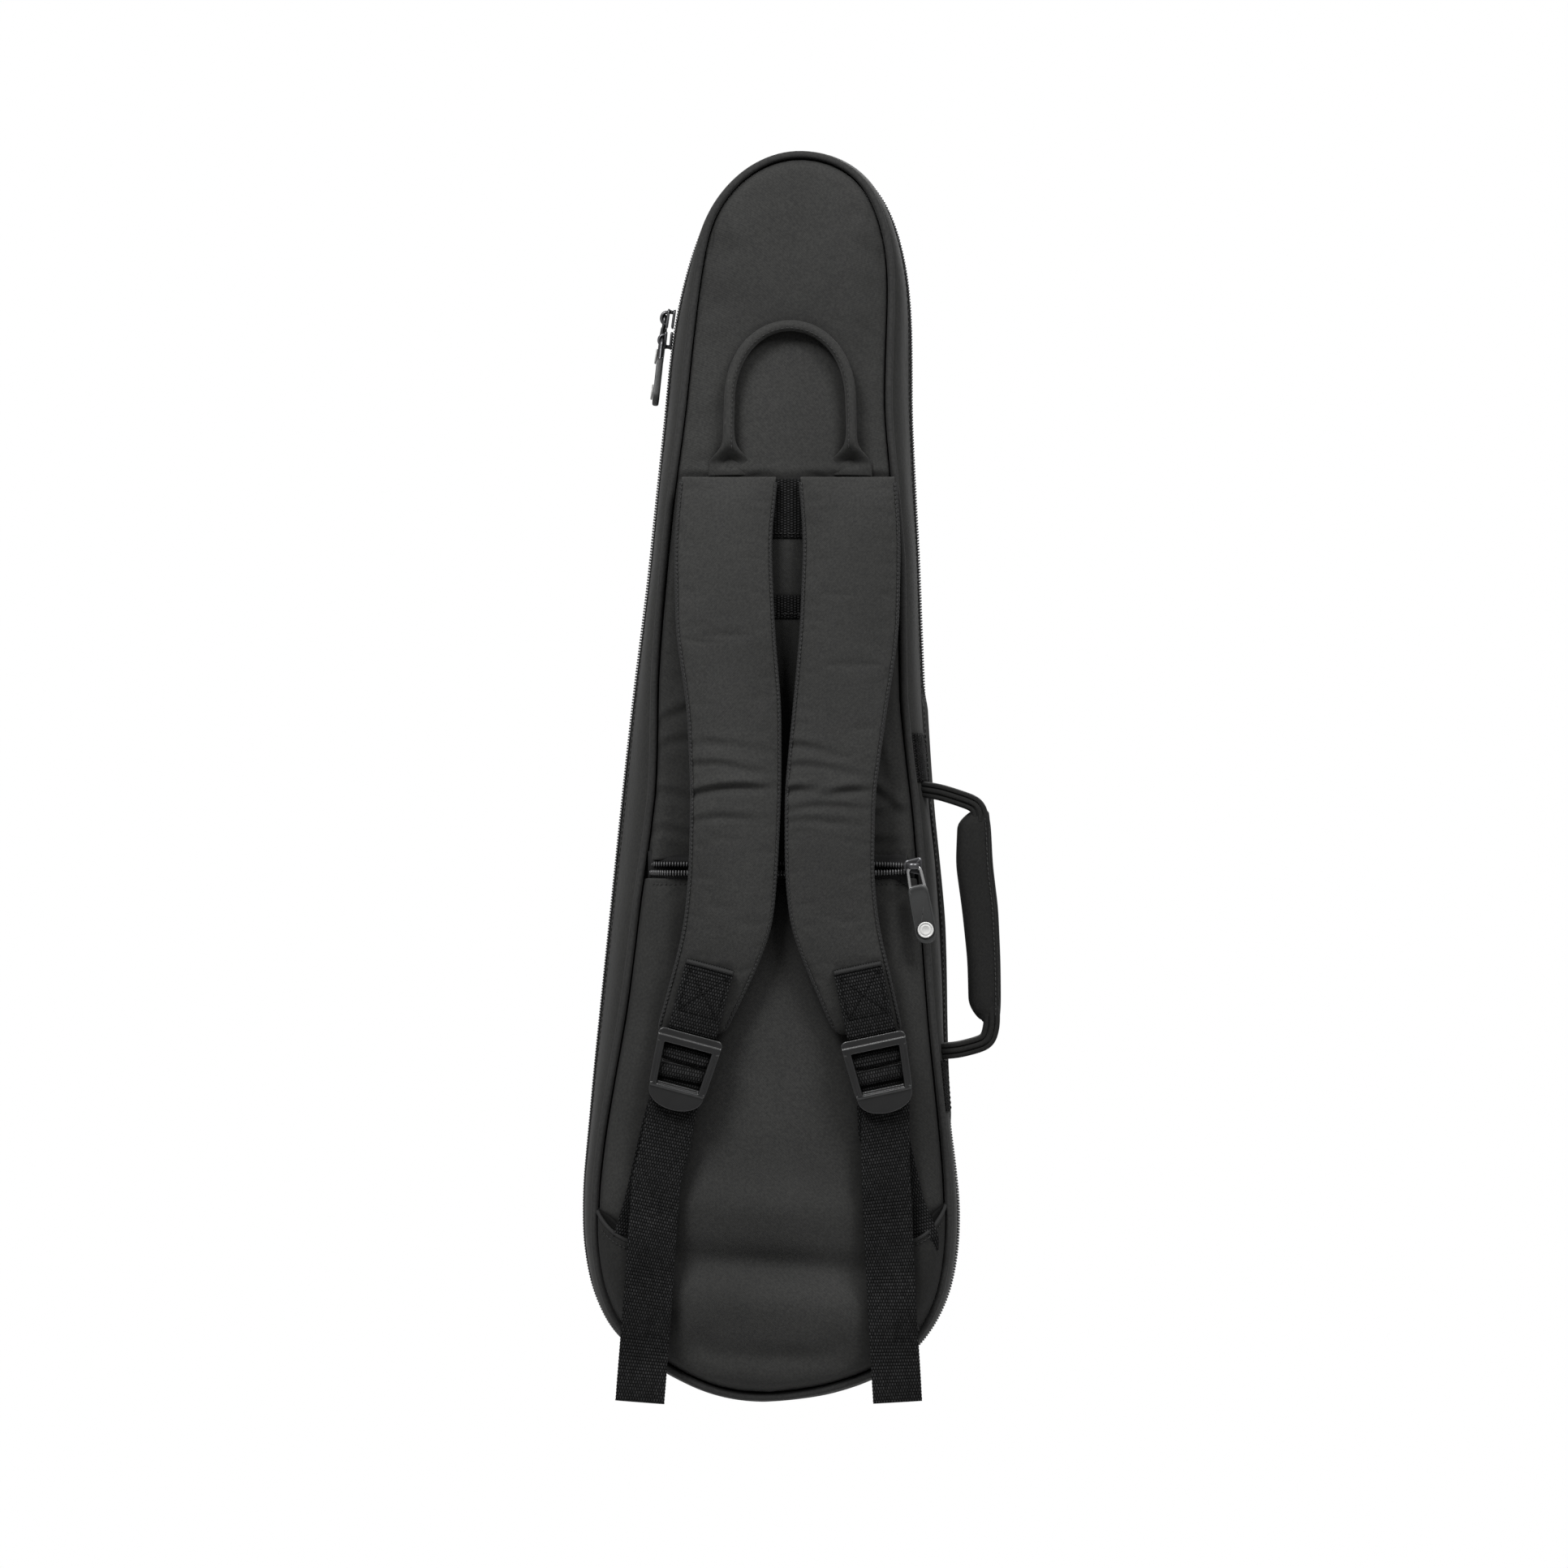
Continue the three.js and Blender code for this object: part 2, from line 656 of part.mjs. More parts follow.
function makeMainSliders() {
  const climb = Math.atan2(RUN_TOP.x - RUN_FOOT.x, RUN_TOP.z - RUN_FOOT.z);
  const below = 6;
  const lowerPlace = [
    RUN_TOP.x - below * Math.sin(climb) - OFF_OUTLINE * Math.cos(climb),
    PARTING_Y,
    RUN_TOP.z - below * Math.cos(climb) + OFF_OUTLINE * Math.sin(climb),
  ];
  addSlider('main_lower', {
    place: lowerPlace,
    basis: leftSideBasis(climb),
    size: MAIN_SLIDER_SIZE,
    tabLength: 20,
    lean: -12,
  });
  const centre = {
    x: RUN_TOP.x + SHOULDER_R * Math.cos(climb),
    z: RUN_TOP.z - SHOULDER_R * Math.sin(climb),
  };
  const turn = climb + 5.5 / SHOULDER_R;
  const reach = SHOULDER_R + OFF_OUTLINE;
  addSlider('main_upper', {
    place: [centre.x - reach * Math.cos(turn), PARTING_Y, centre.z + reach * Math.sin(turn)],
    basis: leftSideBasis(turn),
    size: MAIN_SLIDER_SIZE,
    tabLength: 20,
    lean: 48,
  });
}

const FRONT_POCKET_NEAR = LID_FAR + GAP;

function makePocketSliders() {
  const backFace = BACK_POCKET_FACE - 2 * GAP - ZIP_ROW.thick;
  addSlider('back_pocket', {
    place: [71, backFace - SLIDER_BASE, BACK_POCKET.mouth + 1.5],
    basis: new THREE.Matrix4(),
    size: [9, 9],
    tabLength: 24.5,
    lean: -11,
  });
  const along = new THREE.Matrix4().makeBasis(point(0, -1, 0), point(0, 0, -1), point(1, 0, 0));
  const topFace = FRONT_POCKET.mouth + 2 * GAP + ZIP_ROW.thick;
  addSlider('front_pocket', {
    place: [52, FRONT_POCKET_NEAR + 5.5, topFace + SLIDER_BASE],
    basis: along,
    size: [10, 9],
    tabLength: 20,
    lean: 0,
  });
}

// ---------- lid: the front half, with its accessory pocket ----------

function makeLid() {
  add('front_gusset', gusset(PARTING_Y + 0.4, FRONT_SEAM_Y - PIPING_CLEAR), SHELL_FABRIC);
  add('front_main_zip', mainZipRow(PARTING_Y + 0.4, PARTING_Y + 4.6), ZIP);
  const paddingFar = LID_NEAR - GAP;
  add('front_padding', slab(PADDING_INSET, paddingFar - PADDING_THICK, paddingFar), LINING);
  add('front_panel', slab(PIPING_CLEAR, LID_NEAR, LID_FAR), SHELL_FABRIC);
  add('front_piping', piping(FRONT_SEAM_Y), PIPING_FABRIC);
}

function makeFrontPocket() {
  const { mouth, depth, inset } = FRONT_POCKET;
  const face = FRONT_POCKET_NEAR + depth;
  add('front_pocket_panel', pouch(FRONT_POCKET_NEAR, face, FRONT_POCKET, inset, 0), SHELL_FABRIC);
  const left = -52;
  const right = 57;
  const inner = block([left, FRONT_POCKET_NEAR, mouth - 2], [right, FRONT_POCKET_NEAR + 2, mouth]);
  add('front_pocket_zip_inner', inner, ZIP);
  const outer = block(
    [left, face - 10, mouth + GAP],
    [right, face, mouth + GAP + ZIP_ROW.thick],
  );
  add('front_pocket_zip_outer', outer, ZIP);
}

makeShell();
makeNeckRest();
makeBackPocket();
makeBackTrim();
makeCornerPatches();
makeStraps();
makeGrabHandle();
makeSideHandle();
makeMainSliders();
makePocketSliders();
makeLid();
makeFrontPocket();

export default bag;
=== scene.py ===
"""Padded gig bag: the visible model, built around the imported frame.

Metres, in the frame's own axes: +Z up, the strap side towards -Y, the lid towards +Y.
"""

import json
import math

import bmesh
import bpy
import numpy as np
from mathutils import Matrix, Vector
from mathutils.bvhtree import BVHTree


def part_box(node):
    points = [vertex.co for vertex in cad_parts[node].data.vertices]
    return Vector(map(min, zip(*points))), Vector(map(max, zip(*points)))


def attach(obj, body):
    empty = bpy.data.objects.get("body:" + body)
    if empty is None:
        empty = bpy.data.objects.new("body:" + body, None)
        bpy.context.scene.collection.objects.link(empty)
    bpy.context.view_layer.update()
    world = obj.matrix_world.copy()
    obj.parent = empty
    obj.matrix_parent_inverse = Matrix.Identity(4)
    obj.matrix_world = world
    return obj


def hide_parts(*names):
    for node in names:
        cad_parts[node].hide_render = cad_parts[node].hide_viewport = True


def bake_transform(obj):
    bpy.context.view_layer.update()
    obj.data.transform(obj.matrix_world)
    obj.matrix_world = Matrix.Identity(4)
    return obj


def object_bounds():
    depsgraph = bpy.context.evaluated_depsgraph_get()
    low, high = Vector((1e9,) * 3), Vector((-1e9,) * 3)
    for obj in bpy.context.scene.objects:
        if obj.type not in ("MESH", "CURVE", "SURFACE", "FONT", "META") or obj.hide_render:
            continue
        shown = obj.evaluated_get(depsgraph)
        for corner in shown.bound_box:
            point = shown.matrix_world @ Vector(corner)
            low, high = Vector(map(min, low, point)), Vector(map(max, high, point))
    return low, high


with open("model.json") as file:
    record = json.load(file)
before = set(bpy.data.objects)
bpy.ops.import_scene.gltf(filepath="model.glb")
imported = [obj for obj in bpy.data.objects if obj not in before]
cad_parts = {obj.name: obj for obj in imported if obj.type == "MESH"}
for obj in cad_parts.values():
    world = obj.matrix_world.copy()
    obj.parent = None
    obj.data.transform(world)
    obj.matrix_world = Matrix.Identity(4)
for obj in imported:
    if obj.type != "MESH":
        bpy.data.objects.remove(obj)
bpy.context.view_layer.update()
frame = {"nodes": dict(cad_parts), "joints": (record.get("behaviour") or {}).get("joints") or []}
MM = 0.001

# Directions, as the faces of cloth and the heads of stitches point.
STRAP_SIDE = (0, -1.0, 0)
LID_SIDE = (0, 1.0, 0)
OUT_RIGHT = (1.0, 0, 0)
UP = (0, 0, 1.0)


# ---------- reading the frame ----------


def low(node):
    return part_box(node)[0]


def high(node):
    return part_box(node)[1]


def middle(node):
    """The middle of a CAD node's box, as low and high are its two corners."""
    return (low(node) + high(node)) / 2


def corners_of(node):
    return np.array([v.co for v in frame["nodes"][node].data.vertices], float)


def joint_of(child):
    return next(j for j in frame["joints"] if j["child"] == child)


def tree_of(obj):
    mesh = obj.data
    corners = [v.co for v in mesh.vertices]
    return BVHTree.FromPolygons(corners, [p.vertices for p in mesh.polygons])


# ---------- lines and rings ----------


def soften(values, passes, closed=False):
    """Averages each value with its neighbours, again and again. The ends of an open line stay."""
    values = np.array(values, float)
    for _ in range(passes):
        if closed:
            values = (np.roll(values, 1, 0) + 2 * values + np.roll(values, -1, 0)) / 4
        else:
            values[1:-1] = (values[:-2] + 2 * values[1:-1] + values[2:]) / 4
    return values


def unit(vectors):
    return vectors / np.linalg.norm(vectors, axis=-1, keepdims=True)


def run_of(points):
    """The distance along a line from its start to each of its points."""
    steps = np.linalg.norm(np.diff(points, axis=0), axis=1)
    return np.concatenate([[0], np.cumsum(steps)])


def looked_up(at, known, points):
    """Points of a line at the given places, where known says where its own points are."""
    return np.stack([np.interp(at, known, column) for column in points.T], axis=-1)


def even(points, count, closed=False):
    """Points spaced evenly along the line through the given ones."""
    points = np.array(points, float)
    if closed:
        points = np.vstack([points, points[:1]])
    run = run_of(points)
    return looked_up(np.linspace(0, run[-1], count, endpoint=not closed), run, points)


def length_of(points):
    return float(np.linalg.norm(np.diff(points, axis=0), axis=1).sum())


def curve(points, count, passes=6):
    """A smooth open line through roughly the given points."""
    return soften(even(points, count), passes)


RING_POINTS = 480


def ring_of(node, y):
    """The outer outline of a CAD node at one depth, as (x, z) points from the foot up the right."""
    tree = tree_of(frame["nodes"][node])
    centre = middle(node)
    centre.y = y
    hits = []
    for turn in np.linspace(-math.pi / 2, 1.5 * math.pi, 3 * RING_POINTS, endpoint=False):
        ray = Vector((math.cos(turn), 0, math.sin(turn)))
        hit = tree.ray_cast(centre + ray, -ray)[0]
        hits.append((hit.x, hit.z))
    return soften(even(hits, RING_POINTS, closed=True), 12, closed=True)


def outward(ring):
    """The direction out of a ring at each of its points."""
    along = unit(np.roll(ring, -1, 0) - np.roll(ring, 1, 0))
    return np.stack([along[:, 1], -along[:, 0]], axis=1)


def grown(ring, by):
    return ring + outward(ring) * np.reshape(by, (-1, 1))


def index_at(ring, z, side):
    """Where a ring passes a height, on its right or its left side."""
    top = int(np.argmax(ring[:, 1]))
    if side == "right":
        rising = np.maximum.accumulate(ring[: top + 1, 1])
        return float(np.interp(z, rising, np.arange(top + 1)))
    falling = np.maximum.accumulate(-ring[top:, 1])
    return float(top + np.interp(-z, falling, np.arange(len(falling))))


def span(ring, start, end, count):
    """Points of a ring between two places on it, which may pass its first point."""
    at = np.linspace(start, end, count) % len(ring)
    closed = np.vstack([ring, ring[:1]])
    return looked_up(at, np.arange(len(closed)), closed)


def at_depth(flat, y):
    """(x, z) points set at a depth, which may differ from point to point."""
    y = np.broadcast_to(y, flat.shape[:-1])
    return np.stack([flat[..., 0], y, flat[..., 1]], axis=-1)


def coons(bottom, top, left, right):
    """A grid of points filled in between four sides."""
    u = np.linspace(0, 1, len(bottom))[None, :, None]
    v = np.linspace(0, 1, len(left))[:, None, None]
    between_ends = (1 - v) * bottom[None] + v * top[None]
    between_sides = (1 - u) * left[:, None] + u * right[:, None]
    twist = (1 - u) * (1 - v) * bottom[0] + u * (1 - v) * bottom[-1]
    twist = twist + (1 - u) * v * top[0] + u * v * top[-1]
    return between_ends + between_sides - twist


def distance_to(points, line):
    """How far each (x, z) point of a grid is from the nearest point of a line."""
    dense = even(line, 4 * len(line))
    return np.array([np.linalg.norm(row[:, None] - dense[None], axis=2).min(1) for row in points])


def hump(x, centre, width):
    """A smooth bump of height 1."""
    return np.exp(-(((x - centre) / width) ** 2))


def ripple(x, y, scale, seed):
    """A smooth irregular wave between about -1 and 1, the same on every run."""
    turns = np.array([0.0, 1.3, 2.5, 3.9, 5.1]) + seed
    waves = [
        np.sin((x * np.cos(t) + y * np.sin(t)) / (scale * (0.7 + 0.15 * i)) + 7 * t)
        for i, t in enumerate(turns)
    ]
    return sum(waves) / len(waves)


# ---------- materials ----------


def shader_node(tree, kind, **values):
    node = tree.nodes.new("ShaderNode" + kind)
    for name, value in values.items():
        setattr(node, name, value)
    return node


def feed(tree, socket, source):
    """Links a socket to another node's output, or sets it to a constant."""
    if isinstance(source, bpy.types.NodeSocket):
        tree.links.new(source, socket)
    else:
        socket.default_value = source


def maths(tree, operation, first, second=0.0):
    node = shader_node(tree, "Math", operation=operation)
    feed(tree, node.inputs[0], first)
    feed(tree, node.inputs[1], second)
    return node.outputs[0]


def cloth_axes(tree):
    """The distances across and along the cloth, in metres."""
    place = shader_node(tree, "UVMap", uv_map="cloth")
    parts = shader_node(tree, "SeparateXYZ")
    tree.links.new(place.outputs[0], parts.inputs[0])
    return parts.outputs[0], parts.outputs[1]


def wave(tree, distance, pitch):
    """A sine of a distance, which repeats once in every pitch."""
    return maths(tree, "SINE", maths(tree, "MULTIPLY", distance, 2 * math.pi / pitch))


def noise(tree, scale, detail=3.0):
    place = shader_node(tree, "TexCoord")
    node = shader_node(tree, "TexNoise")
    node.inputs["Scale"].default_value = scale
    node.inputs["Detail"].default_value = detail
    tree.links.new(place.outputs["Object"], node.inputs["Vector"])
    return node.outputs["Fac"]


def shade(colour, by):
    """A colour made darker or lighter, with its fourth channel full."""
    return (*[min(1.0, c * by) for c in colour[:3]], 1.0)


def grey(value):
    return (value, value, value, 1)


BLACK, WHITE = grey(0), grey(1)


def ramp(tree, value, dark, light, start=0.0, end=1.0):
    node = shader_node(tree, "ValToRGB")
    node.color_ramp.elements[0].position = start
    node.color_ramp.elements[0].color = dark
    node.color_ramp.elements[1].position = end
    node.color_ramp.elements[1].color = light
    tree.links.new(value, node.inputs[0])
    return node.outputs[0]


def blended(tree, value, first, second, kind="MIX"):
    node = shader_node(tree, "Mix", data_type="RGBA", blend_type=kind)
    for index, thing in ((0, value), (6, first), (7, second)):
        feed(tree, node.inputs[index], thing)
    return node.outputs[2]


def bumped(tree, height, depth, under=None):
    node = shader_node(tree, "Bump")
    node.inputs["Distance"].default_value = depth
    tree.links.new(height, node.inputs["Height"])
    if under:
        tree.links.new(under, node.inputs["Normal"])
    return node.outputs[0]


def new_look(name, roughness, **constants):
    material = bpy.data.materials.new(name)
    material.use_nodes = True
    shader = material.node_tree.nodes["Principled BSDF"]
    shader.inputs["Roughness"].default_value = roughness
    for socket, value in constants.items():
        shader.inputs[socket.replace("_", " ")].default_value = value
    return material, material.node_tree, shader


def edge_wear_and_highlight(tree, colour, light, start=0.52, end=0.6):
    """Convex edges made lighter: rubbed wear, and on moulded plastic also a painted highlight along its
    bevels.
    """
    edges = shader_node(tree, "NewGeometry")
    worn_and_lit = ramp(tree, edges.outputs["Pointiness"], BLACK, WHITE, start, end)
    return blended(tree, worn_and_lit, colour, light)


def painted_gap_shade(tree, colour, least=0.1, reach=30 * MM):
    """Painted shade: the colour darkened by ambient occlusion in seams, folds and narrow gaps, where
    shade falls.
    """
    gap = shader_node(tree, "AmbientOcclusion")
    gap.samples = 8
    gap.inputs["Distance"].default_value = reach
    dark = ramp(tree, gap.outputs["AO"], grey(least), WHITE, 0.22, 0.88)
    return blended(tree, 1.0, colour, dark, "MULTIPLY")


def plain_weave(name, colour, yarn, sheen):
    """Plain-woven cloth: over-and-under yarns, uneven dye, a slight sheen, rubbed edges, and painted
    shade darkening its gaps and folds.
    """
    material, tree, shader = new_look(
        name, 0.8, Sheen_Weight=sheen, Sheen_Roughness=0.5, Specular_IOR_Level=0.12
    )
    across, along = cloth_axes(tree)
    crossing = maths(tree, "MULTIPLY", wave(tree, across, 2 * yarn), wave(tree, along, 2 * yarn))
    diagonal = wave(tree, maths(tree, "ADD", across, along), 2.83 * yarn)
    yarns = maths(tree, "ADD", maths(tree, "MULTIPLY", crossing, 0.35), 0.5)
    yarns = maths(tree, "ADD", yarns, maths(tree, "MULTIPLY", diagonal, 0.12))
    dye = ramp(tree, noise(tree, 14), shade(colour, 0.86), shade(colour, 1.16), 0.3, 0.7)
    gaps = ramp(tree, yarns, grey(0.72), WHITE, 0.1, 0.6)
    cloth = blended(tree, 1.0, dye, gaps, "MULTIPLY")
    cloth = edge_wear_and_highlight(tree, cloth, shade(colour, 1.5))
    slubs = ramp(tree, noise(tree, 850, 2), grey(0.82), (1.2, 1.2, 1.17, 1), 0.32, 0.68)
    cloth = blended(tree, 1.0, cloth, slubs, "MULTIPLY")
    # Painted shade: the cloth's colour darkened where ambient occlusion finds seams, folds and gaps.
    tree.links.new(painted_gap_shade(tree, cloth), shader.inputs["Base Color"])
    lumps = bumped(tree, noise(tree, 160, 2), 0.25 * MM)
    tree.links.new(bumped(tree, yarns, 0.07 * MM, lumps), shader.inputs["Normal"])
    return material


def ribbed_webbing(name, colour, rib, float_width):
    """Webbing: rows of short floats, laid like bricks, across the strip."""
    material, tree, shader = new_look(name, 0.6, Sheen_Weight=0.0, Specular_IOR_Level=0.08)
    place = shader_node(tree, "UVMap", uv_map="cloth")
    bricks = shader_node(tree, "TexBrick", offset=0.5)
    settings = {
        "Scale": 1.0,
        "Mortar Size": 0.4 * float_width,
        "Mortar Smooth": 1.0,
        "Brick Width": float_width,
        "Row Height": rib,
        "Color1": shade(colour, 3.6),
        "Color2": shade(colour, 1.7),
        "Mortar": shade(colour, 0.1),
    }
    for socket, value in settings.items():
        bricks.inputs[socket].default_value = value
    tree.links.new(place.outputs[0], bricks.inputs["Vector"])
    dye = ramp(tree, noise(tree, 30), grey(0.8), grey(1.25), 0.3, 0.7)
    floats = blended(tree, 1.0, bricks.outputs["Color"], dye, "MULTIPLY")
    # Painted shade: the webbing's colour darkened where ambient occlusion finds gaps and folds.
    tree.links.new(painted_gap_shade(tree, floats), shader.inputs["Base Color"])
    raised = maths(tree, "SUBTRACT", 1.0, bricks.outputs["Fac"])
    fuzz = bumped(tree, noise(tree, 900, 2), 0.05 * MM)
    tree.links.new(bumped(tree, raised, 0.45 * MM, fuzz), shader.inputs["Normal"])
    return material


def ribbed_tape(name, colour, rib, sheen=0.05):
    """Narrow woven tape with fine ribs across it."""
    material, tree, shader = new_look(name, 0.7, Sheen_Weight=sheen, Specular_IOR_Level=0.15)
    across, along = cloth_axes(tree)
    ribs = maths(tree, "ADD", maths(tree, "MULTIPLY", wave(tree, along, rib), 0.35), 0.5)
    threads = maths(tree, "MULTIPLY", wave(tree, across, 0.8 * rib), 0.12)
    woven = maths(tree, "ADD", ribs, threads)
    cloth = ramp(tree, woven, shade(colour, 0.55), shade(colour, 1.25))
    # Painted shade: the tape's colour darkened where ambient occlusion finds gaps and folds.
    tree.links.new(painted_gap_shade(tree, cloth), shader.inputs["Base Color"])
    tree.links.new(bumped(tree, woven, 0.1 * MM), shader.inputs["Normal"])
    return material


def moulded(name, colour, roughness, grain, relief, wear_and_highlight, **constants):
    """Moulded plastic or rubber: fine grain, slight unevenness, edges lighter from rubbed wear and from
    a painted highlight on bevels, and painted shade in gaps.
    """
    material, tree, shader = new_look(name, roughness, **constants)
    tone = ramp(tree, noise(tree, 60), shade(colour, 0.85), shade(colour, 1.2), 0.3, 0.7)
    # Lighter edges: partly rubbed wear, partly a painted highlight along bevels.
    worn_and_lit = edge_wear_and_highlight(tree, tone, shade(colour, wear_and_highlight), 0.51, 0.56)
    # Painted shade in gaps, over a shorter reach.
    tree.links.new(painted_gap_shade(tree, worn_and_lit, 0.15, 8 * MM), shader.inputs["Base Color"])
    rough = ramp(tree, noise(tree, 90), shade(WHITE, roughness * 0.8), shade(WHITE, roughness * 1.2))
    tree.links.new(rough, shader.inputs["Roughness"])
    tree.links.new(bumped(tree, noise(tree, grain, 4), relief), shader.inputs["Normal"])
    return material


def bright_metal(name, colour, roughness):
    material, tree, shader = new_look(name, roughness, Metallic=1.0)
    tone = ramp(tree, noise(tree, 300), shade(colour, 0.85), shade(colour, 1.1), 0.35, 0.65)
    tree.links.new(tone, shader.inputs["Base Color"])
    tree.links.new(bumped(tree, noise(tree, 1500), 0.01 * MM), shader.inputs["Normal"])
    return material


SHELL_COLOUR = (0.027, 0.027, 0.0265)
PIPING_COLOUR = (0.022, 0.022, 0.022)
WEBBING_COLOUR = (0.009, 0.009, 0.0092)
TAPE_COLOUR = (0.007, 0.007, 0.0072)
LINING_COLOUR = (0.075, 0.077, 0.082)
PLASTIC_COLOUR = (0.009, 0.009, 0.0092)
RUBBER_COLOUR = (0.02, 0.0205, 0.0205)
SLIDER_COLOUR = (0.02, 0.02, 0.021)
CHROME_COLOUR = (0.98, 0.98, 0.98)
BADGE_COLOUR = (0.5, 0.5, 0.49)
YARN = 0.5 * MM
WEBBING_RIB = 1.8 * MM
WEBBING_FLOAT = 1.35 * MM
WEBBING_WIDTH = 25 * MM
WEBBING_THICK = 1.5 * MM

# Each look's material, and the name of the record's slot for its finish.
LOOKS = {
    "shell": (plain_weave("shell_fabric", SHELL_COLOUR, YARN, 0.06), "shell_fabric"),
    "piping": (plain_weave("piping_fabric", PIPING_COLOUR, 0.7 * YARN, 0.08), "piping_fabric"),
    "lining": (plain_weave("lining_fabric", LINING_COLOUR, 0.7 * YARN, 0.15), "lining_fabric"),
    "binding": (ribbed_tape("binding_tape", PIPING_COLOUR, 0.7 * MM), "piping_fabric"),
    "thread": (ribbed_tape("thread", shade(SHELL_COLOUR, 1.3), 0.5 * MM, 0.1), "piping_fabric"),
    "dark_thread": (ribbed_tape("dark_thread", shade(WEBBING_COLOUR, 0.4), 0.5 * MM, 0.0), "webbing"),
    # Painted shade: the shell cloth made near black, for the shadowed hollow of a corner's mouth.
    "mouth": (plain_weave("mouth_shade_fabric", shade(SHELL_COLOUR, 0.12), YARN, 0.0), "shell_fabric"),
    # Painted shade: the shell cloth made darker, for the corner patches that face away from the light.
    "corner": (plain_weave("corner_shaded_fabric", shade(SHELL_COLOUR, 0.62), YARN, 0.04), "shell_fabric"),
    # Painted shade: the shell cloth made darker, for the side handle's grip and legs that face away
    # from the light.
    "grip": (plain_weave("grip_shaded_fabric", shade(SHELL_COLOUR, 0.42), YARN, 0.05), "shell_fabric"),
    "webbing": (ribbed_webbing("webbing", WEBBING_COLOUR, WEBBING_RIB, WEBBING_FLOAT), "webbing"),
    "tape": (ribbed_tape("zip_tape", TAPE_COLOUR, 0.9 * MM), "zip_coil"),
    "coil": (moulded("zip_coil", shade(TAPE_COLOUR, 1.8), 0.3, 800, 0.01 * MM, 5.0), "zip_coil"),
    "slider": (
        moulded("slider_metal", SLIDER_COLOUR, 0.32, 500, 0.03 * MM, 6.0, Metallic=0.6),
        "slider_metal",
    ),
    "chrome": (bright_metal("wire_chrome", CHROME_COLOUR, 0.22), "wire_chrome"),
    "rubber": (moulded("tab_rubber", RUBBER_COLOUR, 0.5, 900, 0.06 * MM, 3.0), "tab_rubber"),
    "badge": (moulded("badge_plastic", BADGE_COLOUR, 0.35, 900, 0.01 * MM, 1.2), "badge_plastic"),
    "buckle": (
        moulded("buckle_plastic", PLASTIC_COLOUR, 0.3, 1400, 0.02 * MM, 3.4, Specular_IOR_Level=0.6),
        "buckle_plastic",
    ),
}


# ---------- building meshes ----------


def grid_parts(points, wrap=False, loop=False, ladder=False):
    """Corners, faces and cloth coordinates of a grid of points.

    wrap joins the last column to the first, loop the last row to the first, and ladder closes
    the two ends of a wrapped grid.
    """
    rows, columns = points.shape[:2]
    around = np.concatenate([points, points[:, :1]], axis=1)
    across = np.zeros((rows, columns + 1))
    across[:, 1:] = np.cumsum(np.linalg.norm(np.diff(around, axis=1), axis=2), axis=1)
    last = columns if wrap else columns - 1
    centre = last // 4 if ladder else last // 2
    across -= across[:, centre][:, None]
    steps = np.linalg.norm(np.roll(points, -1, 0) - points, axis=2).mean(1)
    along = np.concatenate([[0], np.cumsum(steps)])
    faces, uvs = [], []
    for i in range(rows if loop else rows - 1):
        below = (i + 1) % rows
        for j in range(last):
            k = (j + 1) % columns
            here, there = i * columns, below * columns
            faces.append((here + j, here + k, there + k, there + j))
            uvs += [(across[i, j], along[i]), (across[i, j + 1], along[i])]
            uvs += [(across[below, j + 1], along[i + 1]), (across[below, j], along[i + 1])]
    if ladder:
        for start, turn in ((0, 1), ((rows - 1) * columns, -1)):
            for j in range(columns // 2 - 1):
                rung = [j, j + 1, columns - 2 - j, columns - 1 - j][::turn]
                faces.append(tuple(start + c for c in rung))
                uvs += [(across[0, c], along[start // columns]) for c in rung]
    return points.reshape(-1, 3), faces, uvs


def dress(obj, look, body=None, nodes=()):
    """Gives a piece its material, and the body and CAD nodes that it stands for."""
    material, slot = LOOKS[look]
    obj.data.materials.append(material)
    if body:
        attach(obj, body)
    if nodes:
        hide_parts(*nodes)
    return obj


def tidy_normals(obj):
    """Turns all faces outwards, and shades them smooth."""
    mesh = obj.data
    work = bmesh.new()
    work.from_mesh(mesh)
    bmesh.ops.recalc_face_normals(work, faces=work.faces)
    work.to_mesh(mesh)
    work.free()
    mesh.polygons.foreach_set("use_smooth", [True] * len(mesh.polygons))


def build(name, grids, look, body=None, nodes=(), finer=0):
    """One piece from one or more grids, each a tuple (points, options of grid_parts)."""
    corners, faces, uvs = [], [], []
    for points, options in grids:
        part_corners, part_faces, part_uvs = grid_parts(points, **options)
        start = sum(len(c) for c in corners)
        corners.append(part_corners)
        faces += [tuple(start + c for c in face) for face in part_faces]
        uvs += part_uvs
    mesh = bpy.data.meshes.new(name)
    mesh.from_pydata(np.vstack(corners), [], faces)
    layer = mesh.uv_layers.new(name="cloth")
    layer.data.foreach_set("uv", np.array(uvs, float).ravel())
    obj = bpy.data.objects.new(name, mesh)
    bpy.context.scene.collection.objects.link(obj)
    tidy_normals(obj)
    if finer:
        obj.modifiers.new("finer", "SUBSURF").levels = finer
        obj.modifiers["finer"].render_levels = finer
    return dress(obj, look, body, nodes)


TUBE = {"wrap": True, "ladder": True}
HOOP = {"wrap": True, "loop": True}


def build_one(name, points, look, body=None, nodes=(), finer=0, form=TUBE):
    """One piece from one grid."""
    return build(name, [(points, form)], look, body, nodes, finer)


def normals_of(points, facing):
    """The direction out of a grid's face at each point."""
    across = np.gradient(points, axis=1)
    along = np.gradient(points, axis=0)
    normals = np.cross(across, along)
    normals /= np.maximum(np.linalg.norm(normals, axis=2), 1e-12)[..., None]
    return normals * np.sign((normals @ np.array(facing)).mean())


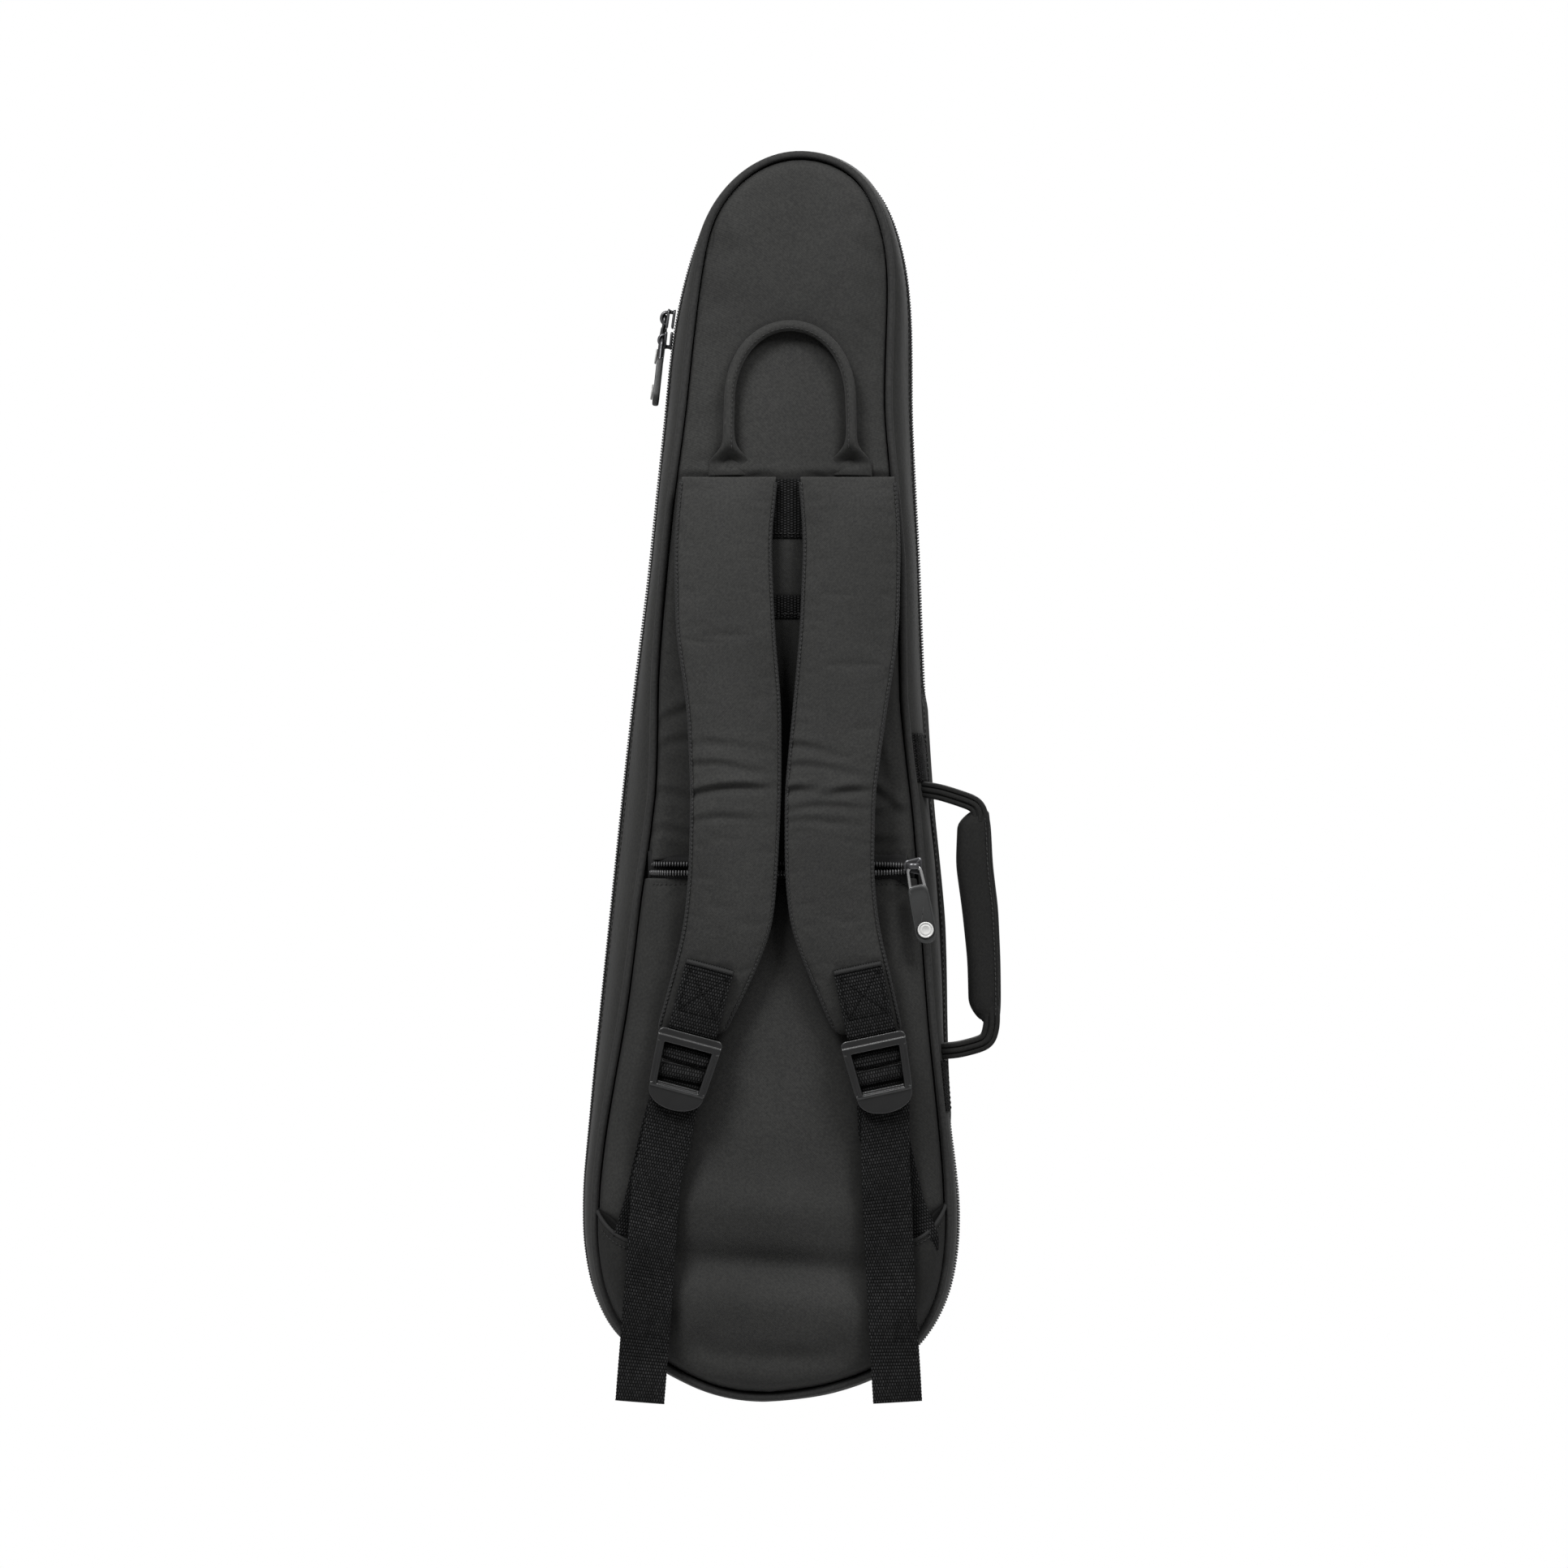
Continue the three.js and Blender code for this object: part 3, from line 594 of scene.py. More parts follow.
def thickened(points, facing, thick=1.2 * MM):
    """A sheet of points turned into a closed section: its front, and its back a little behind."""
    back = points - normals_of(points, facing) * thick
    return np.concatenate([points, back[:, ::-1]], axis=1)


def frames_along(path, up, closed=False):
    """The directions sideways and upwards at each point of a path."""
    if closed:
        along = np.roll(path, -1, 0) - np.roll(path, 1, 0)
    else:
        along = np.gradient(path, axis=0)
    along = unit(along)
    side = unit(np.cross(along, np.broadcast_to(up, path.shape)))
    return side, np.cross(side, along)


def turns(sides):
    """Angles round a tube, half a step on from zero."""
    return np.linspace(0, 2 * math.pi, sides, endpoint=False) + math.pi / sides


def tube(path, radius, sides=12, up=LID_SIDE, closed=False):
    """A round tube, or an oval one where radius gives (sideways, upwards) pairs."""
    side, lift = frames_along(path, up, closed)
    turn = turns(sides)
    if np.ndim(radius) < 2:
        radius = np.reshape(radius, (-1, 1))
    radius = np.broadcast_to(radius, (len(path), 2))
    out = side[:, None] * np.cos(turn)[None, :, None] * radius[:, :1, None]
    out = out + lift[:, None] * np.sin(turn)[None, :, None] * radius[:, 1:, None]
    return path[:, None] + out


def strip(path, across, up, width, thick, columns=12):
    """A flat strip with rounded edges along a path: width and thick may change along it."""
    spread = np.sin(np.linspace(-math.pi / 2, math.pi / 2, columns))
    depth = 0.5 * np.sqrt(1 - 0.85 * np.abs(spread) ** 6)
    width = np.broadcast_to(width, len(path))[:, None, None]
    thick = np.broadcast_to(thick, len(path))[:, None, None]
    across = np.broadcast_to(across, path.shape)[:, None]
    up = np.broadcast_to(up, path.shape)[:, None]
    flat = path[:, None] + across * spread[None, :, None] * width / 2
    raised = up * depth[None, :, None] * thick
    return np.concatenate([flat + raised, (flat - raised)[:, ::-1]], axis=1)


def webbing_strip(path, across, width):
    """Webbing along a path: a strip whose ribs stand out of its faces and its edges."""
    steps = max(8, int(round(4 * length_of(path) / WEBBING_RIB)))
    path = soften(even(path, steps + 1), 4)
    if np.ndim(across) > 1:
        across = even(across, steps + 1)
    along = np.gradient(path, axis=0)
    up = unit(np.cross(np.broadcast_to(across, path.shape), along))
    up = up * np.sign(up @ np.array(STRAP_SIDE))[:, None]
    rib = np.abs(np.sin(np.arange(steps + 1) * math.pi / 4))
    thick = WEBBING_THICK * (0.7 + 0.35 * rib)
    return strip(path, across, up, width + 0.4 * MM * rib, thick, 16)


def beads(name, paths, ups, radii, look, body, sides=6, nodes=()):
    """Many small tubes in one piece: the stitches of a seam or the teeth of a zip."""
    paths = np.array(paths, float)
    along = unit(np.gradient(paths, axis=1))
    side = unit(np.cross(along, np.array(ups, float)[:, None]))
    lift = np.cross(side, along)
    turn = np.linspace(0, 2 * math.pi, sides, endpoint=False)
    radii = np.array(radii)[None, :, None, None]
    round_ = side[:, :, None] * np.cos(turn)[None, None, :, None]
    round_ = round_ + lift[:, :, None] * np.sin(turn)[None, None, :, None]
    points = paths[:, :, None] + round_ * radii
    return build(name, [(grid, TUBE) for grid in points], look, body, nodes)


THREAD_RADII = np.array([0.08, 0.24, 0.27, 0.24, 0.08]) * MM
STITCH_ARCH = np.array([-0.25, 0.12, 0.2, 0.12, -0.25]) * MM
STITCH_SHARE = 0.78  # how much of the pitch is thread


def stitch_paths(path, ups, pitch):
    """The stitches along a line: each a short arch over the cloth."""
    count = max(1, int(length_of(path) / pitch))
    fine = 8
    dense = even(path, count * fine + 1)
    ups = even(np.broadcast_to(ups, path.shape), count * fine + 1)
    reach = np.linspace(0, STITCH_SHARE * fine, len(THREAD_RADII))
    at = np.arange(count)[:, None] * fine + reach[None]
    place = np.arange(len(dense))
    lines = looked_up(at, place, dense)
    lift = looked_up(at, place, ups)
    return lines + lift * STITCH_ARCH[None, :, None], lift[:, 0]


def stitches(name, lines, body, pitch=3.0 * MM, look="thread"):
    """Sewing thread along one or more (path, up) lines, as one piece."""
    sewn = [stitch_paths(np.array(path, float), up, pitch) for path, up in lines]
    paths = np.concatenate([p for p, _ in sewn])
    ups = np.concatenate([u for _, u in sewn])
    return beads(name, paths, ups, THREAD_RADII, look, body)


CLOTH_PRESSURE = 4.0
CLOTH_STEPS = 20


def billow(points, pinned, facing=None, wrap=False, cap=5 * MM, slack=0.01):
    """Blows cloth out by simulation: a grid of points, of which the pinned ones stay put.

    cap is how far a point may move, and slack how much larger the cloth is cut than its grid.
    """
    corners, faces, _ = grid_parts(points, wrap=wrap)
    if facing is not None:
        normals = np.cross(np.gradient(points, axis=1), np.gradient(points, axis=0))
        if (normals @ np.array(facing)).mean() < 0:
            faces = [face[::-1] for face in faces]
    mesh = bpy.data.meshes.new("billow")
    mesh.from_pydata(corners, [], faces)
    obj = bpy.data.objects.new("billow", mesh)
    scene = bpy.context.scene
    scene.collection.objects.link(obj)
    if facing is None:
        tidy_normals(obj)
    group = obj.vertex_groups.new(name="pins")
    group.add([int(i) for i in np.flatnonzero(pinned)], 1.0, "REPLACE")
    settings = obj.modifiers.new("cloth", "CLOTH").settings
    settings.vertex_group_mass = "pins"
    settings.quality = 6
    settings.use_pressure = True
    settings.uniform_pressure_force = CLOTH_PRESSURE
    settings.shrink_min = -slack
    settings.effector_weights.gravity = 0
    for step in range(CLOTH_STEPS):
        scene.frame_set(step + 1)
    view_layer = bpy.context.evaluated_depsgraph_get()
    blown = np.zeros(len(corners) * 3)
    obj.evaluated_get(view_layer).to_mesh().vertices.foreach_get("co", blown)
    scene.frame_set(1)
    bpy.data.objects.remove(obj)
    moved = blown.reshape(-1, 3) - corners
    far = np.linalg.norm(moved, axis=1)[:, None]
    moved *= cap * np.tanh(far / cap) / np.maximum(far, 1e-9)
    return points + moved.reshape(points.shape)


def sheet_pins(points):
    """The points of a grid that are sewn down: its two outer rows all round."""
    pinned = np.zeros(points.shape[:2], bool)
    pinned[:2] = pinned[-2:] = True
    pinned[:, :2] = pinned[:, -2:] = True
    return pinned


# ---------- outlines of the bag ----------

BACK = middle("back_piping").y
FRONT = middle("front_piping").y
PARTING = (high("rear_gusset").y + low("front_gusset").y) / 2
PIPING_R = (high("back_piping").y - low("back_piping").y) / 2
PANEL_CLEAR = (high("back_piping").x - high("back_panel").x) - PIPING_R
SEAM = grown(ring_of("back_panel", middle("back_panel").y), PANEL_CLEAR)
WIDEST = ring_of("rear_gusset", high("rear_gusset").y - 0.2 * MM)
GUSSET_WALL = 9 * MM
MID_X = float(SEAM[0, 0])
FOOT_Z = low("rear_gusset").z
SEAM_INSIDE = grown(SEAM, -2.2 * MM)
ZIP_CENTRE = high("back_pocket_zip_lower").z
UPPER_FOLD = ZIP_CENTRE + 4.2 * MM
LOWER_FOLD = ZIP_CENTRE - 4.8 * MM
STRAP_SEAM = low("strap_seam_band").z + 0.6 * MM
SHOULDER = high("back_panel").z - 46 * MM
HIP = low("back_panel").z + 45 * MM
PANEL_FACE = low("back_panel").y
POCKET_FACE = low("back_pocket_panel").y


def spine_heights():
    """The foot and the top of the stretch that the main zip leaves open on the right."""
    zip_corners = corners_of("rear_main_zip")
    right = np.sort(zip_corners[zip_corners[:, 0] > high("neck_rest").x][:, 2])
    wide = int(np.argmax(np.diff(right)))
    return float(right[wide]), float(right[wide + 1])


SPINE_FOOT, SPINE_TOP = spine_heights()


def gusset_ring(share, lift=0.0):
    """The gusset's outline: share runs from the piped seam (0) to the parting plane (1)."""
    return grown(SEAM * (1 - share) + WIDEST * share, lift)


def side_ring(share, lift, seam_y):
    """The same outline at its own depth, on the half whose seam is at seam_y."""
    return at_depth(gusset_ring(share, lift), seam_y + share * (PARTING - seam_y))


def right_side(ring, foot, head, count):
    """The stretch of a ring between two heights on its right side."""
    return span(ring, index_at(ring, foot, "right"), index_at(ring, head, "right"), count)


# ---------- shell and lid: panels, gussets, piping ----------


def make_piping(name, y, body):
    """The piped seam: a corded roll, and the black tape that the edges are sewn to behind it, which
    also fills the grooves beside the piping with painted shade.
    """
    wobble = 0.12 * MM * ripple(SEAM[:, 0], SEAM[:, 1], 11 * MM, 2.0)
    path = at_depth(grown(SEAM, wobble), y)
    build_one(name, tube(path, PIPING_R, 14, closed=True), "piping", body, [name], form=HOOP)
    inwards = np.sign(PARTING - y)
    edges = [(-5.0, 2.4), (-0.2, 2.4), (0.6, 3.4), (-5.0, 3.4)]
    # Painted shade: the tape is black so that the grooves either side of the piping read dark.
    tape = [at_depth(grown(SEAM, lift * MM), y + inwards * deep * MM) for lift, deep in edges]
    build_one(f"{name}_tape", np.stack(tape, axis=1), "tape", body, form=HOOP)


ZIP_FOLD = 0.885  # how far round the gusset, from seam to parting, the cloth folds at the zip

# How far the cloth stands off its foam, from the seam to the fold.
GUSSET_PUFF = (
    np.array([0, 0.035, 0.06, 0.1, 0.17, 0.26, 0.4, 0.55, 0.7, 0.8, 0.85, ZIP_FOLD]),
    np.array([-1.8, -1.7, -1.3, -0.3, 1.2, 2.4, 2.7, 2.3, 1.6, 1.1, 0.9, 1.0]) * MM,
)


def make_gusset(name, seam_y, body, seed):
    """The outer cloth of one half of the gusset: puffed over its foam, folded in at the zip."""
    shares, puff = GUSSET_PUFF
    rings = []
    run = np.linspace(0, length_of(SEAM), len(SEAM))
    for share, lift in zip(shares, puff):
        pucker = 0.35 * MM * math.sin(math.pi * min(1, share * 1.1))
        waves = pucker * ripple(run, share * 0.04, 9 * MM, seed)
        rings.append(side_ring(share, lift + waves, seam_y))
    for share, lift in ((ZIP_FOLD + 0.01, 0.3), (ZIP_FOLD - 0.02, -0.4), (0.1, -0.4)):
        rings.append(side_ring(share, lift * MM, seam_y))
    build_one(f"{name}_cloth", np.stack(rings, axis=1), "shell", body, [name], 1, HOOP)
    line = side_ring(0.83, 1.15 * MM, seam_y)
    out = at_depth(outward(WIDEST), 0.0)
    sewn = (np.vstack([line, line[:1]]), np.vstack([out, out[:1]]))
    stitches(f"{name}_topstitch", [sewn], body)


def filled(ring, foot, head, columns, rows):
    """A grid over a ring between two heights: the curved foot and head are two of its sides."""
    left, right = index_at(ring, foot, "left"), index_at(ring, foot, "right")
    top_left, top_right = index_at(ring, head, "left"), index_at(ring, head, "right")
    return coons(
        span(ring, left, right + len(ring), columns),
        span(ring, top_left, top_right, columns),
        span(ring, left, top_left, rows),
        span(ring, right, top_right, rows),
    )


def at_mouth(ring, mouth_z, corner_z, columns, rows):
    """A grid over the part of a ring above or below a straight mouth line."""
    left, right = index_at(ring, mouth_z, "left"), index_at(ring, mouth_z, "right")
    corner_left, corner_right = index_at(ring, corner_z, "left"), index_at(ring, corner_z, "right")
    ends = span(ring, left, left, 1)[0], span(ring, right, right, 1)[0]
    mouth = np.linspace(*ends, columns)
    if corner_z > mouth_z:
        head = span(ring, corner_left, corner_right, columns)
        left_side = span(ring, left, corner_left, rows)
        return coons(mouth, head, left_side, span(ring, right, corner_right, rows))
    foot = span(ring, corner_left, corner_right + len(ring), columns)
    left_side = span(ring, corner_left, left, rows)
    return coons(foot, mouth, left_side, span(ring, corner_right, right, rows))


def rolled(distance, width):
    """The rise of a padded edge, from 0 at the seam to 1 where the panel is full."""
    share = np.clip(distance / width, 0, 1)
    return 1 - (1 - share) ** 3


def from_seam(face, rise, seam=BACK + 1.4 * MM):
    """The depth of a panel that rises from its seam to its face."""
    return seam + (face - seam) * rise


POCKET_ROLL = 17 * MM  # how wide the pocket's rounded edge is


def crease(points, start, end, depth, width):
    """Presses a crease along a line from start to end, (x, z), with a ridge thrown up above it."""
    line = np.array(end) - np.array(start)
    reach = np.linalg.norm(line)
    line = line / reach
    offset = points[..., [0, 2]] - np.array(start)
    along = offset @ line
    across = offset @ np.array([-line[1], line[0]])
    bow = 0.06 * reach * np.sin(math.pi * np.clip(along / reach, 0, 1))
    soft_end = 0.12 * reach
    fade = 1 / (1 + np.exp(-along / soft_end)) / (1 + np.exp((along - reach) / soft_end))
    dent = hump(across, bow, width) - 0.7 * hump(across, bow + 1.9 * width, 1.2 * width)
    points[..., 1] += depth * dent * fade


# Creases of the upper panel: the side they're on, (inwards or outwards from the end of the
# pocket's zip, height above the zip's fold) of both their ends, and how deep, in millimetres.
PANEL_CREASES = (
    ("left", (2, 70), (40, 80), 1.5), ("left", (-2, 56), (34, 62), 1.2),
    ("left", (-4, 36), (30, 28), 1.3), ("left", (-4, 16), (30, 10), 1.1),
    ("right", (-40, 46), (-6, 26), 2.2), ("right", (-36, 14), (-4, 26), 2.0),
    ("right", (-44, 3), (-8, 9), 1.4), ("right", (-30, 84), (-12, 40), 1.0),
)


def make_upper_panel():
    """The plain panel above the pocket's zip, sunk behind the straps' lower half."""
    flat = at_mouth(SEAM_INSIDE, UPPER_FOLD, SHOULDER, 56, 130)
    edge = distance_to(flat, SEAM_INSIDE)
    depth = rolled(edge, 7 * MM)
    face = PANEL_FACE - 0.6 * MM
    points = at_depth(flat, from_seam(face, depth))
    points = billow(points, sheet_pins(points), STRAP_SIDE, cap=2.0 * MM, slack=0.004)
    x, z = points[..., 0], points[..., 2]
    points[..., 1] += 1.9 * MM * hump(z, STRAP_SEAM, 1.3 * MM)
    points[..., 1] -= 0.9 * MM * hump(z, STRAP_SEAM + 3.2 * MM, 1.8 * MM)
    hollow = hump(z, UPPER_FOLD + 24 * MM, 34 * MM) * hump(x, MID_X, 50 * MM)
    points[..., 1] += 4.6 * MM * hollow * rolled(edge, 26 * MM)
    sides = {"left": low("back_pocket_zip_lower").x, "right": high("back_pocket_zip_lower").x}
    for side, start, end, deep in PANEL_CREASES:
        ends = [(sides[side] + across * MM, UPPER_FOLD + up * MM) for across, up in (start, end)]
        crease(points, *ends, deep * MM, 2.3 * MM)
    points[..., 1] += 0.35 * MM * ripple(x, z, 24 * MM, 1.0) * depth
    points[..., 1] = np.minimum(points[..., 1], BACK + 1.6 * MM)
    closed = thickened(points, STRAP_SIDE)
    stands_for = ["back_panel", "strap_seam_band"]
    panel = build_one("back_panel_cloth", closed, "shell", "shell", stands_for, 1)
    return panel


# Waves across the pocket's foot: height above the foot, width, and how far out, in millimetres.
POCKET_WAVES = ((97, 12, 3.8), (67, 9, -6.6), (46, 12, 3.6), (20, 7, -3.0))


def make_pocket_panel():
    """The padded pocket below the zip, full at its sides and waved across its foot."""
    flat = at_mouth(SEAM_INSIDE, LOWER_FOLD, HIP, 60, 100)
    edge = distance_to(flat, SEAM_INSIDE)
    face = POCKET_FACE + 0.9 * MM
    points = at_depth(flat, from_seam(face, rolled(edge, POCKET_ROLL)))
    points = billow(points, sheet_pins(points), STRAP_SIDE, cap=1.6 * MM, slack=0.004)
    x, z = points[..., 0], points[..., 2]
    foot = low("back_panel").z
    across = hump(x, MID_X, 66 * MM)
    inner = rolled(edge, 24 * MM)
    tilt = 0.06 * (x - MID_X)
    for height, width, rise in POCKET_WAVES:
        points[..., 1] -= rise * MM * hump(z + tilt, foot + height * MM, width * MM) * across * inner
    points[..., 1] += 0.5 * MM * ripple(x, z, 26 * MM, 3.0) * inner
    points[..., 1] += 0.6 * MM * hump(z, LOWER_FOLD - 3 * MM, 0.9 * MM)
    closed = thickened(points, STRAP_SIDE)
    panel = build_one("back_pocket_cloth", closed, "shell", "shell", ["back_pocket_panel"], 1)
    return panel


def on_surface(tree, flat, lift=0.0):
    """(x, z) points dropped on a surface from the strap side, and lifted off it."""
    depths = []
    for x, z in np.reshape(flat, (-1, 2)):
        hit = tree.ray_cast(Vector((x, -1, z)), Vector((0, 1, 0)))[0]
        depths.append(hit.y if hit else (depths[-1] if depths else 0.0))
    return at_depth(np.array(flat), np.reshape(depths, np.shape(flat)[:-1]) - lift)


# ---------- zips ----------

TOOTH_RADII = np.array([0.3, 0.52, 0.56, 0.52, 0.3]) * MM
TOOTH_PITCH = 1.5 * MM


def teeth(name, path, across, out, body, height, nodes=(), pitch=TOOTH_PITCH):
    """A row of zip teeth along a path: each an arch that lies across it and stands out of it."""
    count = max(2, int(length_of(path) / pitch))
    path = even(path, count)
    out = even(out, count) if np.ndim(out) > 1 else np.broadcast_to(out, (count, 3))
    reach = np.array([-0.5, -0.33, 0.0, 0.33, 0.5]) * height
    rise = np.array([0.0, 0.55, 0.85, 0.55, 0.0]) * MM
    arches = path[:, None] + np.array(across) * reach[None, :, None]
    arches = arches + out[:, None] * rise[None, :, None]
    return beads(name, arches, out, TOOTH_RADII, "coil", body, 5, nodes)


def zip_stretch(lift, reach, side, count=700):
    """A line along the main zip, from the spine's foot round the bottom, left and top to its top.

    reach is how far it is from the parting plane, towards the shell (side -1) or the lid (side 1).
    """
    ring = gusset_ring(1 - reach / (PARTING - BACK), lift)
    start = index_at(ring, SPINE_TOP, "right")
    end = index_at(ring, SPINE_FOOT, "right") + len(ring)
    return at_depth(span(ring, start, end, count), PARTING + side * reach)


def make_main_zip_half(name, body, side):
    """One tape with its row of teeth: side is -1 for the shell's and 1 for the lid's."""
    line = zip_stretch(0.75 * MM, 2.3 * MM, side)
    along = unit(np.gradient(line[:, [0, 2]], axis=0))
    out = at_depth(np.stack([along[:, 1], -along[:, 0]], axis=1), 0.0)
    teeth(f"{name}_teeth", line, LID_SIDE, out, body, 3.1 * MM, [name])
    rings = []
    for reach, lift in ((9.5, 0.2), (6.5, 0.45), (4.0, 0.65), (0.4, 0.7), (0.4, -0.4), (9.5, -0.8)):
        rings.append(zip_stretch(lift * MM, reach * MM, side, 500))
    build_one(f"{name}_tape", np.stack(rings, axis=1), "tape", body)


def make_spine():
    """The cloth hinge between the halves, beside the carrying handle."""
    rows, seams = [], {}
    count = 90
    fade = np.clip(6 * np.sin(np.linspace(0, math.pi, count)), 0, 1)[:, None]
    for reach in np.linspace(-9, 9, 19):
        share = 1 - abs(reach) * MM / (PARTING - BACK)
        puff = np.interp(share, *GUSSET_PUFF)
        bulge = (0.7 + 0.7 * hump(reach, 0, 3.0)) * MM
        sunk, full = [
            right_side(gusset_ring(share, lift), SPINE_FOOT - 9 * MM, SPINE_TOP + 9 * MM, count)
            for lift in (puff - 0.3 * MM, puff + bulge)
        ]
        rows.append(at_depth(sunk * (1 - fade) + full * fade, PARTING + reach * MM))
        if abs(reach) == 7:
            seams["shell" if reach < 0 else "lid"] = rows[-1][4:-4] + (0.1 * MM, 0, 0)
    spine = build_one("spine_cloth", thickened(np.stack(rows, axis=1), OUT_RIGHT), "shell")
    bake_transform(spine)
    for body, line in seams.items():
        stitches(f"spine_stitches_{body}", [(line, OUT_RIGHT)], body)


def zip_tape(name, line, hem, between, facing, body):
    """The tape of a zip row: from its hem, over a place in between, to the row of teeth."""
    sheet = np.stack([hem, between, line - 0.5 * MM * np.array(facing)], axis=1)
    build_one(f"{name}_tape", thickened(sheet, facing, 0.6 * MM), "tape", body)


def columns_of(x, y, z):
    """Points of which some coordinates are the same all along."""
    return np.stack(np.broadcast_arrays(x, y, z), axis=-1)


def zip_mouth_end(side):
    ring, place = SEAM_INSIDE, index_at(SEAM_INSIDE, ZIP_CENTRE, side)
    return span(ring, place, place, 1)[0, 0]


def make_back_pocket_zip(pocket):
    """The pocket's two rows of teeth, their tapes, and the dark cloth seen between them."""
    left, right = zip_mouth_end("left") + 2.5 * MM, zip_mouth_end("right") - 2.5 * MM
    stop = middle("back_pocket_slider").x - 3 * MM
    front = low("back_pocket_zip_lower").y + 0.9 * MM
    behind = low("back_pocket_zip_upper").y - 0.4 * MM
    x = np.linspace(left, stop, 160)
    near = np.clip((x - stop) / (46 * MM) + 1, 0, 1) ** 2
    fall = rolled(x - left + 1 * MM, POCKET_ROLL)
    bow = 0.4 * MM * ripple(x, x * 0, 40 * MM, 1.0)
    closing = 0.9 * MM * near**3
    upper_y = behind + (front - behind) * near
    rows = {
        "upper": (upper_y, 2.2 * MM - closing, UPPER_FOLD + 3 * MM, PANEL_FACE + 0.4 * MM),
        "lower": (front, closing - 2.1 * MM, LOWER_FOLD - 3 * MM, POCKET_FACE + 2.2 * MM),
    }
    for row, (y, rise, fold, hem_y) in rows.items():
        y = from_seam(y, fall)
        z = ZIP_CENTRE + rise + bow
        hem_y = from_seam(hem_y, fall, BACK + 1.6 * MM)
        line = columns_of(x, y, z)
        name = f"back_pocket_zip_{row}"
        teeth(f"{name}_teeth", line, UP, STRAP_SIDE, "shell", 2.7 * MM, [name], 1.45 * MM)
        between = columns_of(x, (y + hem_y) / 2 + 0.3 * MM, (z + fold) / 2)
        zip_tape(name, line, columns_of(x, hem_y, fold), between, STRAP_SIDE, "shell")
    heights = ZIP_CENTRE + np.array([9, 0, -9]) * MM
    ends = np.linspace(left - 1 * MM, right + 1 * MM, 60)
    back = columns_of(ends[:, None], PANEL_FACE + 1.2 * MM, heights)
    build_one("pocket_backing", thickened(back, STRAP_SIDE, 0.8 * MM), "tape", "shell")
    hem_x = np.linspace(left - 1 * MM, right + 1 * MM, 120)[2:-2]
    hem = on_surface(tree_of(pocket), np.stack([hem_x, 0 * hem_x + LOWER_FOLD - 3.1 * MM], 1), 0.1 * MM)
    stitches("pocket_hem_stitches", [(hem, STRAP_SIDE)], "shell", 2.4 * MM)


# ---------- sliders and pullers ----------


def puck(outline, origin, axes, profile):
    """A closed flat body: rows of (scale, height) of an (x, z) outline about its centre.

    axes are the directions of the outline's x, of the height, and of the outline's z.
    """
    centre = (outline.max(0) + outline.min(0)) / 2
    rows = []
    for scale, height in profile:
        flat = centre + (outline - centre) * scale
        rows.append(origin + flat[:, :1] * axes[0] + height * axes[1] + flat[:, 1:] * axes[2])
    return np.stack(rows, axis=0)


PUCK = {"wrap": True}


def rounded_outline(half_top, half_foot, top, foot, corner_top, corner_foot, count=12):
    """An outline that runs round a four-sided shape with rounded corners."""
    points = []
    corners = (
        (half_foot - corner_foot, foot + corner_foot, corner_foot, -90),
        (half_top - corner_top, top - corner_top, corner_top, 0),
        (-half_top + corner_top, top - corner_top, corner_top, 90),
        (-half_foot + corner_foot, foot + corner_foot, corner_foot, 180),
    )
    for x, z, radius, start in corners:
        for turn in np.radians(start + np.linspace(0, 90, count)):
            points.append((x + radius * math.cos(turn), z + radius * math.sin(turn)))
    return np.array(points)


def puller_axes(name):
    """The pivot of a puller, and its directions: across, inwards to the bag, and up to the pivot."""
    joint = joint_of(name)
    pivot = np.array(joint["pos_m"])
    across = -np.array(joint["axis"])
    up = pivot - np.array(middle(f"{name}_tab"))
    up = unit(up - across * (up @ across))
    return pivot, (across, np.cross(up, across), up)


def reach_of(node, pivot, axis):
    """How far a CAD node reaches along a direction from a point: (least, most)."""
    along = (corners_of(node) - pivot) @ axis
    return float(along.min()), float(along.max())


